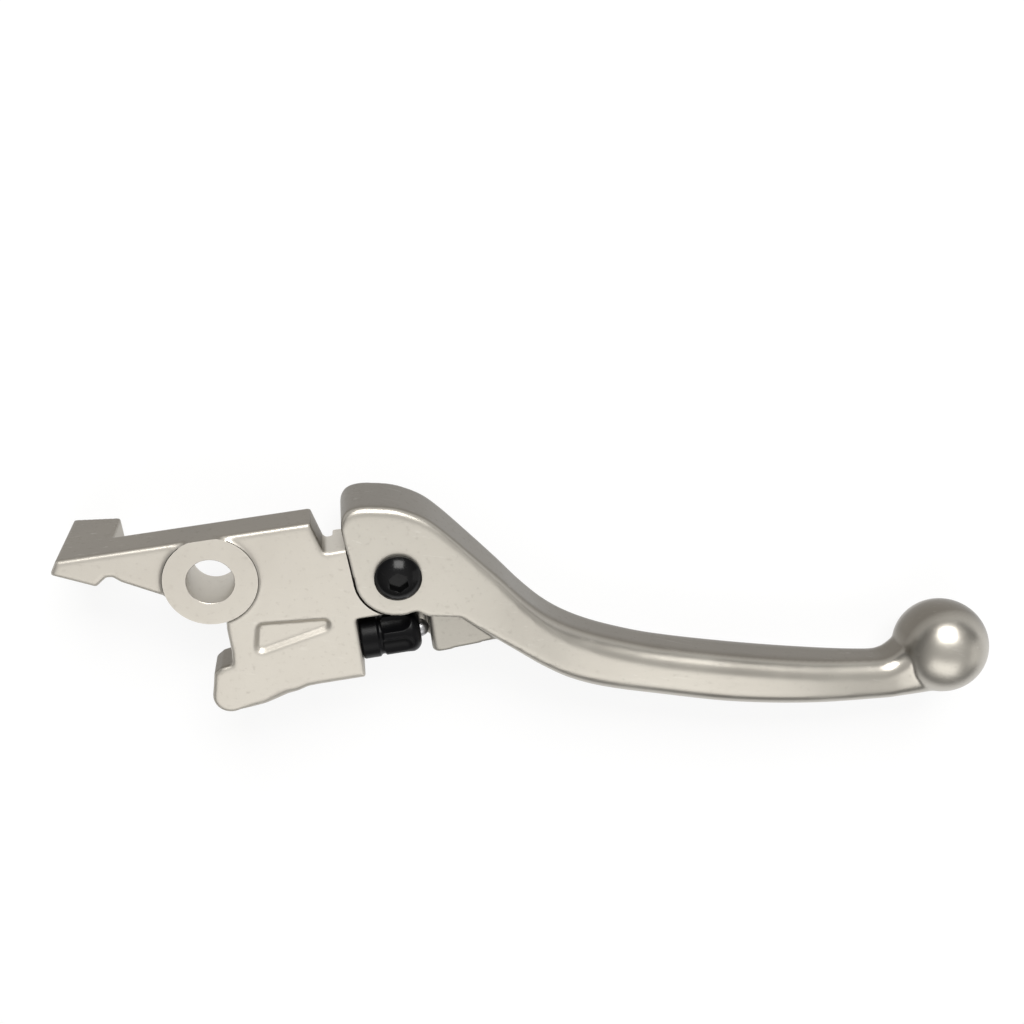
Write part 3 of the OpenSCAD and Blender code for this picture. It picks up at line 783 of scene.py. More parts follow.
@dataclass(frozen=True)
class Finish:
    """A surface finish: its colours, gloss and the strength of each effect."""

    slot: Slot
    colour: Colour
    dark: Colour
    worn: Colour
    metallic: float
    gloss: Point2
    grain_scale: float
    grain_height: float
    pit_scale: float
    scratch_amount: float
    wear_share: float
    worn_gloss: float = 0.3
    # tone and tint of the painted shade on the faces that point sideways
    side_shade_tone: float = 1.0
    # boxes where the painted side shade is left off
    shade_free: tuple[Area, ...] = ()
    # boxes that are made darker, and by how much
    darker_areas: tuple[Area, ...] = ()
    darker_tone: float = 0.74
    cloud_scale: float = 55.0
    hand_polish: Point3 | None = None
    specular: float = 0.5
    side_shade_tint: Colour = (1.0, 0.965, 0.92)
    pit_share: float = 0.35
    pit_rough: float = 0.08
    # share and tone of the painted shade in the hollows
    hollow_shade_share: float = 0.5
    hollow_shade_tone: float = 0.6
    scratch_share: float = 0.6

    def material(self, effects: Effects) -> bpy.types.Material:
        """Build the material.

        Args:
            effects: the shared node groups.

        Returns:
            The material.
        """
        made = bpy.data.materials.new(self.slot.value)
        wiring = Wiring.of(made)
        grain = wiring.node("Group", node_tree=effects.surface_grain,
                            values={"Scale": self.grain_scale, "Pitting": self.pit_scale}).outputs
        # worn edges, and painted shade in the hollows
        wear = wiring.node("Group", node_tree=effects.wear_and_nook_shade).outputs
        lines = wiring.node("Group", node_tree=effects.scratches,
                            values={"Amount": self.scratch_amount}).outputs["Mask"]
        cloud = wiring.node("Group", node_tree=effects.mottling, values={"Scale": self.cloud_scale}).outputs["Cloud"]
        marks = wiring.times(lines, self.scratch_share)
        bright = wiring.maths("MAXIMUM", wiring.times(wear["Edges"], self.wear_share), marks)
        base = self.base(wiring, effects, cloud, grain["Pits"], wear["Hollows"])
        base = wiring.blend(bright, base, (*self.worn, 1.0))
        rough = self.roughness(wiring, cloud, grain["Pits"], bright)
        lowered = wiring.maths("SUBTRACT", grain["Height"], marks)
        bump = wiring.node("Bump", {"Strength": 1.0, "Distance": self.grain_height, "Height": lowered}).outputs[0]
        shader = wiring.node("BsdfPrincipled", {"Base Color": base, "Roughness": rough, "Metallic": self.metallic,
                                                "Specular IOR Level": self.specular, "Normal": bump})
        wiring.node("OutputMaterial", {"Surface": shader.outputs[0]})
        return made

    def base(self, wiring: Wiring, effects: Effects, cloud: Socket, pits: Socket, hollows: Socket) -> Socket:
        """Lay down the colour: clouds, pits, painted shade in the hollows and on the sides, and darker boxes.

        Args:
            wiring: the material's wiring.
            effects: the shared node groups.
            cloud: cloudy value around one half.
            pits: mask of the pits.
            hollows: mask of the painted shade in the hollows.

        Returns:
            The colour before wear.
        """
        dark = (*self.dark, 1.0)
        base = wiring.blend(wiring.ramp(cloud, 0.35, 0.65), dark, (*self.colour, 1.0))
        base = wiring.blend(wiring.times(pits, self.pit_share), base, dark)
        # painted shade: the hollows take a darker copy of the dark colour
        nook = (*(self.hollow_shade_tone * c for c in self.dark), 1.0)
        base = wiring.blend(wiring.times(hollows, self.hollow_shade_share), base, nook)
        # painted shade on the faces that point sideways, left off inside the shade-free boxes; they take a darker,
        # warmer copy of the colour
        if self.side_shade_tone < 1.0:
            shade = (*(self.side_shade_tone * c for c in self.side_shade_tint), 1.0)
            side = wiring.node("Group", node_tree=effects.painted_side_shade).outputs["Side"]
            for area in self.shade_free:
                side = wiring.times(side, wiring.maths("SUBTRACT", 1.0, area.mask(wiring, effects)))
            base = wiring.blend(side, base, wiring.blend(1.0, base, shade, "MULTIPLY"))
        # darker boxes, such as the face of the lug
        for area in self.darker_areas:
            darkened_colour = wiring.blend(1.0, base, (*(self.darker_tone,) * 3, 1.0), "MULTIPLY")
            base = wiring.blend(area.mask(wiring, effects), base, darkened_colour)
        return base

    def roughness(self, wiring: Wiring, cloud: Socket, pits: Socket, bright: Socket) -> Socket:
        """Work out the roughness: clouds, polish by hand, pits and worn spots.

        Args:
            wiring: the material's wiring.
            cloud: cloudy value around one half.
            pits: mask of the pits.
            bright: mask of the worn spots.

        Returns:
            The roughness.
        """
        rough = wiring.ramp(cloud, 0.3, 0.7, *self.gloss)
        if self.hand_polish is not None:
            start, stop, drop = self.hand_polish
            along = wiring.parts(wiring.place())["X"]
            rough = wiring.maths("SUBTRACT", rough, wiring.ramp(along, start, stop, 0.0, drop))
        rough = wiring.maths("ADD", rough, wiring.times(pits, self.pit_rough))
        spread = wiring.maths("SUBTRACT", self.worn_gloss, rough)
        return wiring.maths("ADD", rough, wiring.times(spread, bright), clamp=True)


FINISHES = (
    # both aluminium finishes carry painted shade on their sides
    Finish(Slot.CAST, (0.60, 0.57, 0.515), (0.53, 0.50, 0.45), (0.78, 0.76, 0.72), 1.0,
           (0.42, 0.50), 2600.0, 1.2e-5, 900.0, 0.25, 0.25, worn_gloss=0.34, side_shade_tone=0.40,
           # no painted side shade inside the bore and on the notch floor
           shade_free=(Area((0.0, 0.0, 0.0), (0.0052, 0.0052, 0.02)),
                   Area((0.0265, 0.0024, -0.002), (0.0026, 0.0008, 0.009)))),
    Finish(Slot.BUFFED, (0.53, 0.505, 0.455), (0.47, 0.445, 0.40), (0.78, 0.76, 0.72), 1.0,
           (0.36, 0.44), 3000.0, 5e-6, 1100.0, 0.35, 0.25, side_shade_tone=0.38, hand_polish=(0.055, 0.10, 0.08),
           # the face of the lug is made darker
           darker_areas=(Area((0.0520, -0.0212, -0.002), (0.0085, 0.0056, 0.0068)),)),
    Finish(Slot.BLACK_STEEL, (0.004, 0.004, 0.0045), (0.003, 0.003, 0.003), (0.03, 0.03, 0.03), 0.0,
           (0.15, 0.21), 2400.0, 1e-6, 900.0, 0.2, 0.10, worn_gloss=0.25, specular=0.19),
    Finish(Slot.ZINC, (0.50, 0.50, 0.51), (0.40, 0.40, 0.42), (0.66, 0.66, 0.66), 1.0,
           (0.30, 0.40), 1800.0, 4e-6, 800.0, 0.5, 0.4),
    Finish(Slot.SPRING, (0.50, 0.49, 0.47), (0.40, 0.39, 0.37), (0.66, 0.65, 0.63), 1.0,
           (0.22, 0.30), 2000.0, 2e-6, 900.0, 0.5, 0.2),
    Finish(Slot.PLASTIC, (0.003, 0.003, 0.0035), (0.002, 0.002, 0.0025), (0.02, 0.02, 0.02), 0.0,
           (0.28, 0.36), 2200.0, 4e-6, 800.0, 0.2, 0.3, worn_gloss=0.34, specular=0.12),
    Finish(Slot.NYLON, (0.74, 0.76, 0.70), (0.66, 0.68, 0.60), (0.80, 0.80, 0.76), 0.0,
           (0.36, 0.46), 1500.0, 4e-6, 700.0, 0.1, 0.1),
)


class Palette:
    """The finishes of this part, each made once."""

    def __init__(self) -> None:
        """Build the shared effects and every material."""
        effects = Effects()
        self.by_slot = {finish.slot: finish.material(effects) for finish in FINISHES}

    def dress(self, obj: bpy.types.Object, body: Body, slot: Slot, *nodes: str, sharp_angle: float = 32.0) -> None:
        """Finish a piece: metres, smooth shading, material and its place in the frame.

        Args:
            obj: the piece, in millimetres.
            body: the body that it rides on.
            slot: the material slot that it takes its finish from.
            nodes: the solids that it stands for.
            sharp_angle: bend past which an edge is drawn sharp, in degrees.
        """
        obj.data.transform(TO_METRES)
        obj.data.materials.clear()
        obj.data.materials.append(self.by_slot[slot])
        obj.data.shade_smooth()
        obj.data.set_sharp_from_angle(angle=math.radians(sharp_angle))
        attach(obj, body.value)
        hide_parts(*nodes)
        LOG.info("%s: %d faces on body %s", obj.name, len(obj.data.polygons), body.value)

    def paint_solid(self, node: str, slot: Slot) -> None:
        """Give a carried-over solid its material.

        Args:
            node: name of the solid.
            slot: its material slot.
        """
        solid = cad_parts[node]
        if not solid.material_slots:
            solid.data.materials.append(self.by_slot[slot])
        for place in solid.material_slots:
            place.material = self.by_slot[slot]
        LOG.info("%s keeps its solid with finish %s", node, slot.value)


@dataclass
class Assembly:
    """Pieces that are made and dressed together."""

    palette: Palette


# ---------------------------------------------------------------- the hinge that the castings share


@dataclass(frozen=True)
class HingeSizes:
    """Places and sizes round the blade hinge, in millimetres."""

    x: float = 38.8
    y: float = 5.5
    ear_r: float = 9.3
    ear_gap: float = 0.3
    blade_front: float = 7.0
    head_lean: float = 0.9
    blade_back: float = -9.9
    slot_front: float = 2.9
    slot_back: float = -5.8
    tongue_front: float = 2.3
    tongue_back: float = -5.5
    tongue_r: float = 9.15
    bush_r: float = 4.0
    screw_r: float = 3.0
    screw_gap: float = 0.1
    run_fit: float = 0.04
    nut_af: float = 10.0
    nut_h: float = 5.0
    pocket_depth: float = 2.2
    nylon_h: float = 1.2
    spring_r: float = 5.4
    spring_wire: float = 1.0
    spring_turns: float = 2.5
    spring_leg: float = 1.6
    spring_gap: float = 0.3

    @property
    def head_left(self) -> float:
        """Place where the head of the blade begins, along the arm."""
        return self.x - self.ear_r - self.head_lean

    @property
    def place(self) -> Matrix:
        """Matrix that moves a turned piece onto the hinge axis."""
        return at(self.x, -self.y, 0.0)

    @property
    def spring_height(self) -> float:
        """Height of the coil of the take-up spring."""
        return self.spring_turns * (self.spring_wire + 0.05)

    @property
    def pocket_height(self) -> float:
        """Depth of the pocket that the take-up spring sits in."""
        return self.spring_height + self.spring_wire + self.spring_gap

    def on_coil(self, turns: float, z: float) -> Point3:
        """Point on the coil after a number of turns, at height z."""
        angle = math.tau * turns
        return (self.x + self.spring_r * math.cos(angle), -self.y + self.spring_r * math.sin(angle), z)


@dataclass(frozen=True)
class AdjusterSizes:
    """Places and sizes of the reach adjuster, in millimetres."""

    y: float = 21.1
    z: float = 1.2
    seat_x: float = 28.5
    knob_gap: float = 0.15
    knob_r: float = 5.0
    knob_len: float = 13.2
    knob_collar: float = 4.2
    knob_round: float = 1.8
    flutes: int = 6
    flute_depth: float = 1.0
    flute_r: float = 3.2
    flute_turn: float = 12.0
    plunger_r: float = 2.0
    plunger_tail: float = 8.0
    plunger_travel: float = 1.4
    plunger_flat: float = 0.6
    run_fit: float = 0.04
    tip_x: float = 43.78
    detent_r: float = 3.4
    detent_ball_r: float = 1.0
    detent_len: float = 5.0
    detent_wire: float = 0.3
    detent_turns: float = 6.0
    detent_depth: float = 0.35
    detent_nest: float = 0.25

    @property
    def knob_x(self) -> float:
        """Place of the knob's face next to the arm."""
        return self.seat_x + self.knob_gap

    @property
    def detent_x(self) -> float:
        """Place of the detent ball along the arm."""
        return self.knob_x + self.detent_depth - self.detent_ball_r - self.run_fit

    @property
    def detent_floor(self) -> float:
        """Place where the detent spring begins along the arm."""
        return self.detent_x - self.detent_ball_r + self.detent_nest - self.detent_len

    def along(self, x: float, drop: float = 0.0) -> Matrix:
        """Matrix that lays a piece made along Z onto the adjuster axis."""
        return at(x, -self.y - drop, self.z) @ turned_by(90.0, "Y")


HINGE = HingeSizes()
ADJUSTER = AdjusterSizes()


# ---------------------------------------------------------------- base arm


@dataclass
class BaseArm(Assembly):
    """The casting that turns on the main pivot: boss, foot, nose and tongue."""

    bore_r: float = 5.0
    boss_r: float = 9.9
    rear_boss_r: float = 7.5
    boss_half: float = 7.0
    bore_break: float = 0.1
    skirt_h: float = 0.22
    skirt_w: float = 2.5
    rim_line: float = 0.12
    front: float = 6.7
    back: float = -3.1
    round_r: float = 0.9
    lower_round: float = 1.9
    toe_round: float = 2.7
    seat_round: float = 0.5
    round_steps: int = 6
    top_y: float = 9.5
    notch_y: float = 2.4
    step_x: float = 22.4
    step_run: float = 1.7
    seat_cut: float = 0.5
    seat_drop: float = 0.6
    web_in: float = 3.6
    back_in: float = 3.0
    rim_sink: float = 0.05
    bore_run: float = 20.0
    lower_y: float = 28.9
    nose_r: float = 3.9
    nose_y: float = 28.0
    foot_x: float = 29.9
    foot_len: float = 10.4
    foot_depth: float = 23.5
    foot_slant: float = 3.0
    foot_tip: float = 1.8
    recess_depth: float = 1.0
    recess_r: float = 1.7
    recess_slope: float = 1.0
    grain: float = 0.34
    passes: int = 5

    @property
    def seat_top_y(self) -> float:
        """Height of the shoulder under the tongue."""
        return -HINGE.y - HINGE.ear_r + self.seat_drop

    def foot_outline(self) -> list[Point2]:
        """Corners of the foot in the front view.

        Returns:
            The outer corners, anticlockwise.
        """
        x = self.foot_x
        return [(-x, self.top_y), (-x - self.foot_tip, self.top_y - 2.9),
                (self.foot_len * 0.65 - x, self.notch_y), (self.foot_len - 1.3 - x, self.notch_y + 1.7)]

    def corners(self) -> list[tuple[float, float, float]]:
        """Corners of the arm in the front view.

        Returns:
            Place and radius of the rounded edge at each corner, anticlockwise.
        """
        nose, low, seat_x = self.nose_y, self.lower_y, ADJUSTER.seat_x
        upper = self.foot_outline() + [(self.foot_len - self.foot_x, self.notch_y + 1.6), (-18.0, self.notch_y + 0.2),
                                       (-10.0, -2.0), (-5.0, -6.0), (1.4, -self.boss_r), (1.1, -12.0), (1.1, -17.4),
                                       (0.7, 7.7 - nose), (-1.7, 7.3 - nose), (-3.5, 6.1 - nose), (-4.1, 3.5 - nose)]
        upper += arc((-1.0, -nose), self.nose_r, 170.0, 290.0, 14)
        heel = [(3.3, -nose - 3.8), (6.0, -nose - 3.5)]
        toe = [(8.6, -nose - 3.1), (11.2, -nose - 2.3)]
        edge = [(13.5, -low - 0.8), (15.8, -low - 0.1), (18.0, -low), (seat_x - self.seat_cut, -low)]
        seat = [(seat_x, self.seat_cut - low), (seat_x, self.seat_top_y), (HINGE.x, self.seat_top_y),
                (HINGE.x, self.notch_y)]
        step = [(self.step_x + self.step_run + 0.6, self.notch_y), (self.step_x + self.step_run, self.notch_y + 0.6),
                (self.step_x, self.top_y)]
        runs = ((upper, self.round_r), (heel, self.lower_round), (toe, self.toe_round), (edge, self.lower_round),
                (seat, self.seat_round), (step, self.round_r))
        return [(x, y, radius) for run, radius in runs for x, y in run]

    def plate(self) -> bpy.types.Object:
        """The flat body of the arm with rounded rims and its cast recess.

        Returns:
            The object, in millimetres.
        """
        corners = self.corners()
        outline = [(x, y) for x, y, _ in corners]
        rings: list[list[Point3]] = []
        for side in (-1, 1):
            for step in range(self.round_steps + 1):
                angle = math.radians(90.0 * step / self.round_steps)
                out, up = (math.sin(angle), math.cos(angle)) if side < 0 else (math.cos(angle), math.sin(angle))
                drawn = inset(outline, [r * (1.0 - out) for _, _, r in corners])
                rings.append([(x, y, self.back + r * (1.0 - up) if side < 0 else self.front - r * (1.0 - up))
                              for (x, y), (_, _, r) in zip(drawn, corners)])
        return machined(Shell.loft(rings).as_object("plate"), [self.recess()])

    def recess(self) -> Shell:
        """Cutter for the wedge-shaped recess with sloped walls in the front face.

        Returns:
            The closed cutter.
        """
        rings: list[list[Point3]] = []
        for share in (-1.0, 1.0):
            r = self.recess_r + self.recess_slope * share
            outline = (arc((21.5, -14.2), r, -77.0, 87.0, 10) + arc((8.7, -13.0), r, 87.0, 166.0, 8)
                       + arc((7.7, -17.1), r, 166.0, 283.0, 10))
            rings.append([(x, y, self.front + self.recess_depth * share) for x, y in outline])
        return Shell.loft(rings)

    def boss(self) -> Shell:
        """The round boss, wide in front of the arm and narrow behind it.

        Returns:
            The closed shells of the boss.
        """
        wide = Shell.rod(self.boss_r, 0.0, self.boss_half + 0.3, LARGE)
        wide.clipped((0.0, self.top_y, 0.0), (0.0, 1.0, 0.0))
        return wide.with_shell(Shell.rod(self.rear_boss_r, -self.boss_half - CUT, CUT, LARGE))

    def skirt(self) -> Shell:
        """The low cast skirt round the machined face, inside the outline of the arm.

        Returns:
            The closed skirt.
        """
        low, high = self.front - CUT, self.front + self.skirt_h
        cone = Shell.rod(self.boss_r + self.skirt_w, low, high, LARGE, self.boss_r)
        outline = [(x, y) for x, y, _ in self.corners()]
        bounds = Shell.prism(inset(outline, [self.round_r] * len(outline)), low - CUT, high + CUT)
        piece = combine(cone.as_object("skirt"), bounds, "INTERSECT")
        return Shell.taken(piece)

    def foot(self) -> Shell:
        """The foot that reaches back to the brake light switch.

        Returns:
            The closed foot.
        """
        back = self.front - self.foot_depth
        inner = self.foot_len - self.foot_x
        outline = self.foot_outline() + [(inner, self.notch_y + 1.6), (inner, self.top_y)]
        block = Shell.prism(outline, back - CUT, self.front - self.round_r)
        slope = Vector((self.foot_slant, 0.0, -self.foot_len)).normalized()
        block.clipped((-self.foot_x, 0.0, back), tuple(slope))
        block.clipped((-self.foot_x, 0.0, back), (0.0, 0.0, -1.0))
        return block

    def tongue(self) -> Shell:
        """The part of the arm that lies between the ears of the blade.

        Returns:
            The closed shells of the tongue.
        """
        low, high = HINGE.tongue_back - CUT, HINGE.tongue_front + CUT
        round_end = Shell.rod(HINGE.tongue_r, low, high, LARGE).placed(HINGE.place)
        web = Shell.block((self.step_x + self.web_in, self.seat_top_y, low), (HINGE.x, self.notch_y, high))
        return round_end.with_shell(web)

    def machining(self) -> list[Shell]:
        """Cutters for every machined face and hole of the arm."""
        return self.face_cutters() + self.hinge_cutters() + self.adjuster_cutters()

    def face_cutters(self) -> list[Shell]:
        """Cutters for the faces beside the blade and for the boss and its bore.

        Returns:
            The closed cutters.
        """
        half, ear, deep = self.boss_half, HINGE.ear_r + HINGE.ear_gap, self.bore_run
        edge = HINGE.x - ear
        ear_room = Shell.rod(ear, HINGE.tongue_front, FAR, LARGE).placed(HINGE.place)
        ear_flat = Shell.prism([(edge, -HINGE.y), (edge + deep, -HINGE.y), (edge + deep, self.top_y),
                                (HINGE.head_left - HINGE.ear_gap, self.top_y)], HINGE.tongue_front, FAR)
        back_face = Shell.block((self.step_x + self.back_in, -FAR, -FAR), (2 * FAR, FAR, HINGE.tongue_back))
        mouth_r, mouth = self.bore_r + deep - half + self.bore_break, half - self.bore_break
        bore = Shell.turned([(0.0, -deep), (mouth_r, -deep), (self.bore_r, -mouth), (self.bore_r, mouth),
                             (mouth_r, deep), (0.0, deep)], LARGE)
        front_face = Shell.rod(self.boss_r, half, FAR, LARGE)
        inner_r, outer_r = self.boss_r - self.rim_sink, self.boss_r + self.rim_line
        rim = Shell.turned([(inner_r, self.front + 0.02), (outer_r, self.front + 0.12), (outer_r, FAR),
                            (inner_r, FAR)], LARGE)
        rim.clipped((0.0, self.top_y - self.round_r, 0.0), (0.0, 1.0, 0.0))
        rear_face = Shell.rod(self.boss_r + 1.0, -FAR, -half, LARGE)
        return [ear_room, ear_flat, back_face, bore, front_face, rim, rear_face]

    def hinge_cutters(self) -> list[Shell]:
        """Cutters for the bush, the take-up spring and its leg.

        Returns:
            The closed cutters.
        """
        bush_hole = Shell.rod(HINGE.bush_r + HINGE.run_fit, -FAR, FAR).placed(HINGE.place)
        pocket_r = HINGE.spring_r + HINGE.spring_wire / 2 + HINGE.spring_gap
        top = HINGE.tongue_back + HINGE.pocket_height
        pocket = Shell.rod(pocket_r, HINGE.tongue_back - 1.0, top).placed(HINGE.place)
        leg_hole = Shell.rod((HINGE.spring_wire + HINGE.spring_gap) / 2, top - CUT, top + HINGE.spring_leg + CUT,
                             TINY).placed(at(*HINGE.on_coil(0.0, 0.0)))
        return [bush_hole, pocket, leg_hole]

    def adjuster_cutters(self) -> list[Shell]:
        """Cutters for the plunger's thread and the click detent.

        Returns:
            The closed cutters.
        """
        size = ADJUSTER
        depth = size.plunger_tail + size.plunger_travel + CUT
        thread_hole = Shell.rod(size.plunger_r + size.run_fit, 0.0, depth + CUT, SMALL).placed(
            size.along(size.seat_x - depth))
        ball_hole = Shell.rod(size.detent_ball_r + size.run_fit, 0.0, size.seat_x - size.detent_floor + CUT,
                              DETENT).placed(size.along(size.detent_floor, size.detent_r))
        return [thread_hole, ball_hole]

    def build(self) -> None:
        """Make and dress the arm."""
        skin = Shell.taken(self.plate())
        whole = joined([skin, self.boss(), self.skirt(), self.foot(), self.tongue()])
        piece = fuse(whole.as_object("base_arm_casting"), self.grain, self.passes)
        machined(piece, self.machining())
        self.palette.dress(piece, Body.ARM, Slot.CAST, "base_arm")


# ---------------------------------------------------------------- lever blade


@dataclass
class LeverBlade(Assembly):
    """The finger lever with its forked head, lug and ball end."""

    head_t: float = 16.9
    grip_w: float = 13.6
    grip_h: float = 12.6
    grip_end_h: float = 10.8
    grip_z: float = -2.8
    head_round: float = 1.7
    ear_round: float = 0.25
    grip_round: float = 4.2
    ball_r: float = 11.2
    ball_x: float = 164.6
    ball_y: float = 49.6
    lug_x: float = 43.9
    lug_y: float = 26.3
    heel_len: float = 2.4
    lug_round: float = 1.4
    lean_rise: float = 11.6
    lug_front: float = 2.4
    lug_top: float = 2.0
    neck_run: float = 2.4
    neck_share: float = 0.7
    grain: float = 0.42
    passes: int = 5
    corner_steps: int = 7
    finger_side: tuple[Point2, ...] = ((95, -35.7), (112, -40.9), (130, -45.6), (146, -48.8))
    head_top: tuple[Point2, ...] = ((28.6, 7.3), (28.9, 8.7), (29.5, 9.8), (30.6, 10.8), (33, 11.3), (36.7, 10.8),
                                    (40.6, 9.8), (44.2, 8), (47, 6), (50.2, 2.6), (54.4, -2.6), (61, -11),
                                    (65.5, -17), (69.7, -21.8), (74, -25.5), (79.4, -28.9), (86, -32.1))
    head_low: tuple[Point2, ...] = ((58.2, -24.9), (63, -29.8), (68, -34.7), (74, -39.6), (82, -43.8))
    lug_line: tuple[Point2, ...] = ((41.6, -14.35), (43.9, -16), (51, -17.7), (58.2, -24.9))
    turn_in: tuple[Point2, ...] = ((42, 0), (50, 0), (58, 0.16), (66, 0.48), (74, 0.8), (82, 0.95), (90, 1), (98, 1))

    @property
    def middle(self) -> float:
        """Height of the middle plane of the head."""
        return (HINGE.blade_front + HINGE.blade_back) / 2

    def grip_share(self, x: float) -> float:
        """How far the head has turned into the finger grip at x, from 0 to 1."""
        return min(1.0, max(0.0, flowing(min(max(x, 42.0), 98.0), self.turn_in)))

    @property
    def neck_x(self) -> float:
        """Place where the grip meets the ball."""
        return self.ball_x - self.ball_r - self.neck_run

    @property
    def in_ball_x(self) -> float:
        """Place where the grip is well inside the ball."""
        return self.ball_x - self.neck_share * self.ball_r

    def upper(self, x: float) -> float:
        """Height of the finger side at x."""
        end = ((self.neck_x, 0.7 - self.ball_y), (self.in_ball_x, 4.6 - self.ball_y), (self.ball_x, 6 - self.ball_y))
        return flowing(x, self.head_top + self.finger_side + end)

    def lower(self, x: float) -> float:
        """Height of the bar side.

        Args:
            x: place along the blade.

        Returns:
            The height in millimetres.
        """
        left = HINGE.x - HINGE.ear_r
        if x < left:
            return -HINGE.y + self.lean_rise * (left - x) / HINGE.head_lean
        if x < self.lug_line[0][0]:
            return -HINGE.y - math.sqrt(max(0.0, HINGE.ear_r**2 - (x - HINGE.x) ** 2))
        if x < self.lug_line[-1][0]:
            return between(x, self.lug_line)
        heights = (self.grip_h, self.grip_h, (self.grip_h + self.grip_end_h) / 2, self.grip_end_h)
        grip = tuple((px, py - h) for (px, py), h in zip(self.finger_side, heights))
        end = ((self.in_ball_x, 0.2 - self.ball_y - self.ball_r), (self.ball_x, 0.1 - self.ball_y - self.ball_r))
        return flowing(x, self.head_low + grip + end)

    def half_depth(self, x: float) -> float:
        """Half of the thickness.

        Args:
            x: place along the blade.

        Returns:
            The depth in millimetres.
        """
        grip = flowing(min(max(x, 110.0), self.ball_x),
                       ((110.0, self.grip_w), (130.0, self.grip_w - 0.3), (self.neck_x, self.grip_w - 1.9),
                        (self.in_ball_x, self.grip_w - 1.2), (self.ball_x, 1.3 * self.ball_r))) / 2
        return self.head_t / 2 + (grip - self.head_t / 2) * self.grip_share(x)

    def corner(self, x: float) -> float:
        """Radius of the rounded corners.

        Args:
            x: place along the blade.

        Returns:
            The radius in millimetres.
        """
        if x < self.neck_x:
            return self.head_round + (self.grip_round - self.head_round) * self.grip_share(x)
        return between(x, ((self.neck_x, self.grip_round), (self.in_ball_x, 1.3 * self.grip_round),
                           (self.ball_x, 0.64 * self.ball_r)))

    def section(self, x: float) -> list[Point3]:
        """Rounded section at x.

        Args:
            x: place along the blade.

        Returns:
            Points that run round the section.
        """
        top, low, half = self.upper(x), self.lower(x), self.half_depth(x)
        r = min(self.corner(x), (top - low) / 2.2)
        tight = min(r, between(min(max(x, 44.0), 62.0), ((44.0, self.ear_round), (62.0, r))))
        middle = self.middle + (self.grip_z - self.middle) * self.grip_share(x)
        corners = ((top - r, half - r, r), (low + tight, half - tight, tight), (low + tight, tight - half, tight),
                   (top - r, r - half, r))
        points: list[Point3] = []
        for number, (y, z, radius) in enumerate(corners):
            for py, pz in arc((y, middle + z), radius, 90.0 * number, 90.0 * (number + 1), self.corner_steps):
                points.append((x, py, pz))
        return points

    def skin(self) -> Shell:
        """The head and the grip as one loft.

        Returns:
            The closed loft.
        """
        lean = [HINGE.head_left + HINGE.head_lean * k for k in (0.0, 0.04, 0.1, 0.2, 0.35, 0.55, 0.78)]
        ear = [HINGE.x - HINGE.ear_r * math.cos(math.radians(a)) for a in range(0, 105, 6)]
        places = lean + ear + [41.6, 42.5]
        x = self.lug_x
        while x < self.neck_x:
            places.append(x)
            x += 0.8 if x < 90 else 1.6
        steps = 8
        places += [self.neck_x + (self.in_ball_x - self.neck_x) * i / steps for i in range(steps + 1)]
        places += [(self.in_ball_x + self.ball_x) / 2, self.ball_x]
        return Shell.loft([self.section(p) for p in places])

    def lug(self) -> Shell:
        """The low step that the adjuster pushes.

        Returns:
            The step with its heel behind the knob.
        """
        reach = HINGE.blade_front - self.lug_front - self.middle
        end_x, top_y = self.lug_line[-1][0], -HINGE.ear_r - HINGE.y + self.lug_top
        outline = [(self.lug_x, 0.6 - self.lug_y), (self.lug_x + 0.6, -self.lug_y), (end_x, 0.9 - self.lug_y),
                   (end_x + 2.0, -17.7), (51.0, -HINGE.y - HINGE.ear_r / 2), (self.lug_x, top_y)]
        low, high = self.middle - reach, self.middle + reach
        step = Shell.prism(outline, low, high)
        step.rounded(self.lug_round, lambda e: all(v.co.z > high - 0.01 and v.co.x < self.lug_x + 0.7 for v in e.verts))
        heel = Shell.prism([(self.lug_x + 1.0, top_y), (self.lug_x - self.heel_len, top_y),
                            (self.lug_x - self.heel_len, 1.6 - self.lug_y), (self.lug_x + 1.0, -self.lug_y)],
                           low, ADJUSTER.z - ADJUSTER.knob_r - HINGE.ear_gap)
        return step.with_shell(heel)

    def machining(self) -> list[Shell]:
        """Cutters for the slot, the screw hole and the nut pocket.

        Returns:
            The closed cutters.
        """
        ear = HINGE.ear_r
        slot_r = HINGE.tongue_r + 2 * HINGE.ear_gap
        low, high = HINGE.slot_back, HINGE.slot_front
        slot_end = Shell.rod(slot_r, low, high, LARGE).placed(HINGE.place)
        slot_run = Shell.block((HINGE.x - 2 * ear, -HINGE.y - 2 * ear, low), (HINGE.x, -HINGE.y + slot_r, high))
        hole = Shell.rod(HINGE.screw_r + HINGE.screw_gap, -FAR, FAR, SMALL).placed(HINGE.place)
        pocket_r = (HINGE.nut_af / 2 + HINGE.screw_gap) * AF_TO_R
        pocket = Shell.rod(pocket_r, -FAR, HINGE.blade_back + HINGE.pocket_depth, HEXAGON).placed(
            HINGE.place @ turned_by(30.0, "Z"))
        leg_z = low - HINGE.spring_leg - HINGE.spring_gap
        sweep = HINGE.spring_r * ADJUSTER.plunger_travel / (ADJUSTER.y - HINGE.y)
        leg_hole = Shell.rod((HINGE.spring_wire + HINGE.spring_gap) / 2 + sweep, leg_z, leg_z + HINGE.spring_leg + 1.0,
                             TINY).placed(at(*HINGE.on_coil(HINGE.spring_turns, 0.0)))
        return [slot_end, slot_run, hole, pocket, leg_hole]

    def build(self) -> None:
        """Make and dress the blade."""
        ball = Shell.ball(self.ball_r, MIDDLING).placed(at(self.ball_x, -self.ball_y, self.grip_z))
        piece = joined([self.skin(), self.lug(), ball]).as_object("lever_blade_casting")
        fuse(piece, self.grain, self.passes)
        machined(piece, self.machining())
        self.palette.dress(piece, Body.BLADE, Slot.BUFFED, "lever_blade")


# ---------------------------------------------------------------- hinge hardware


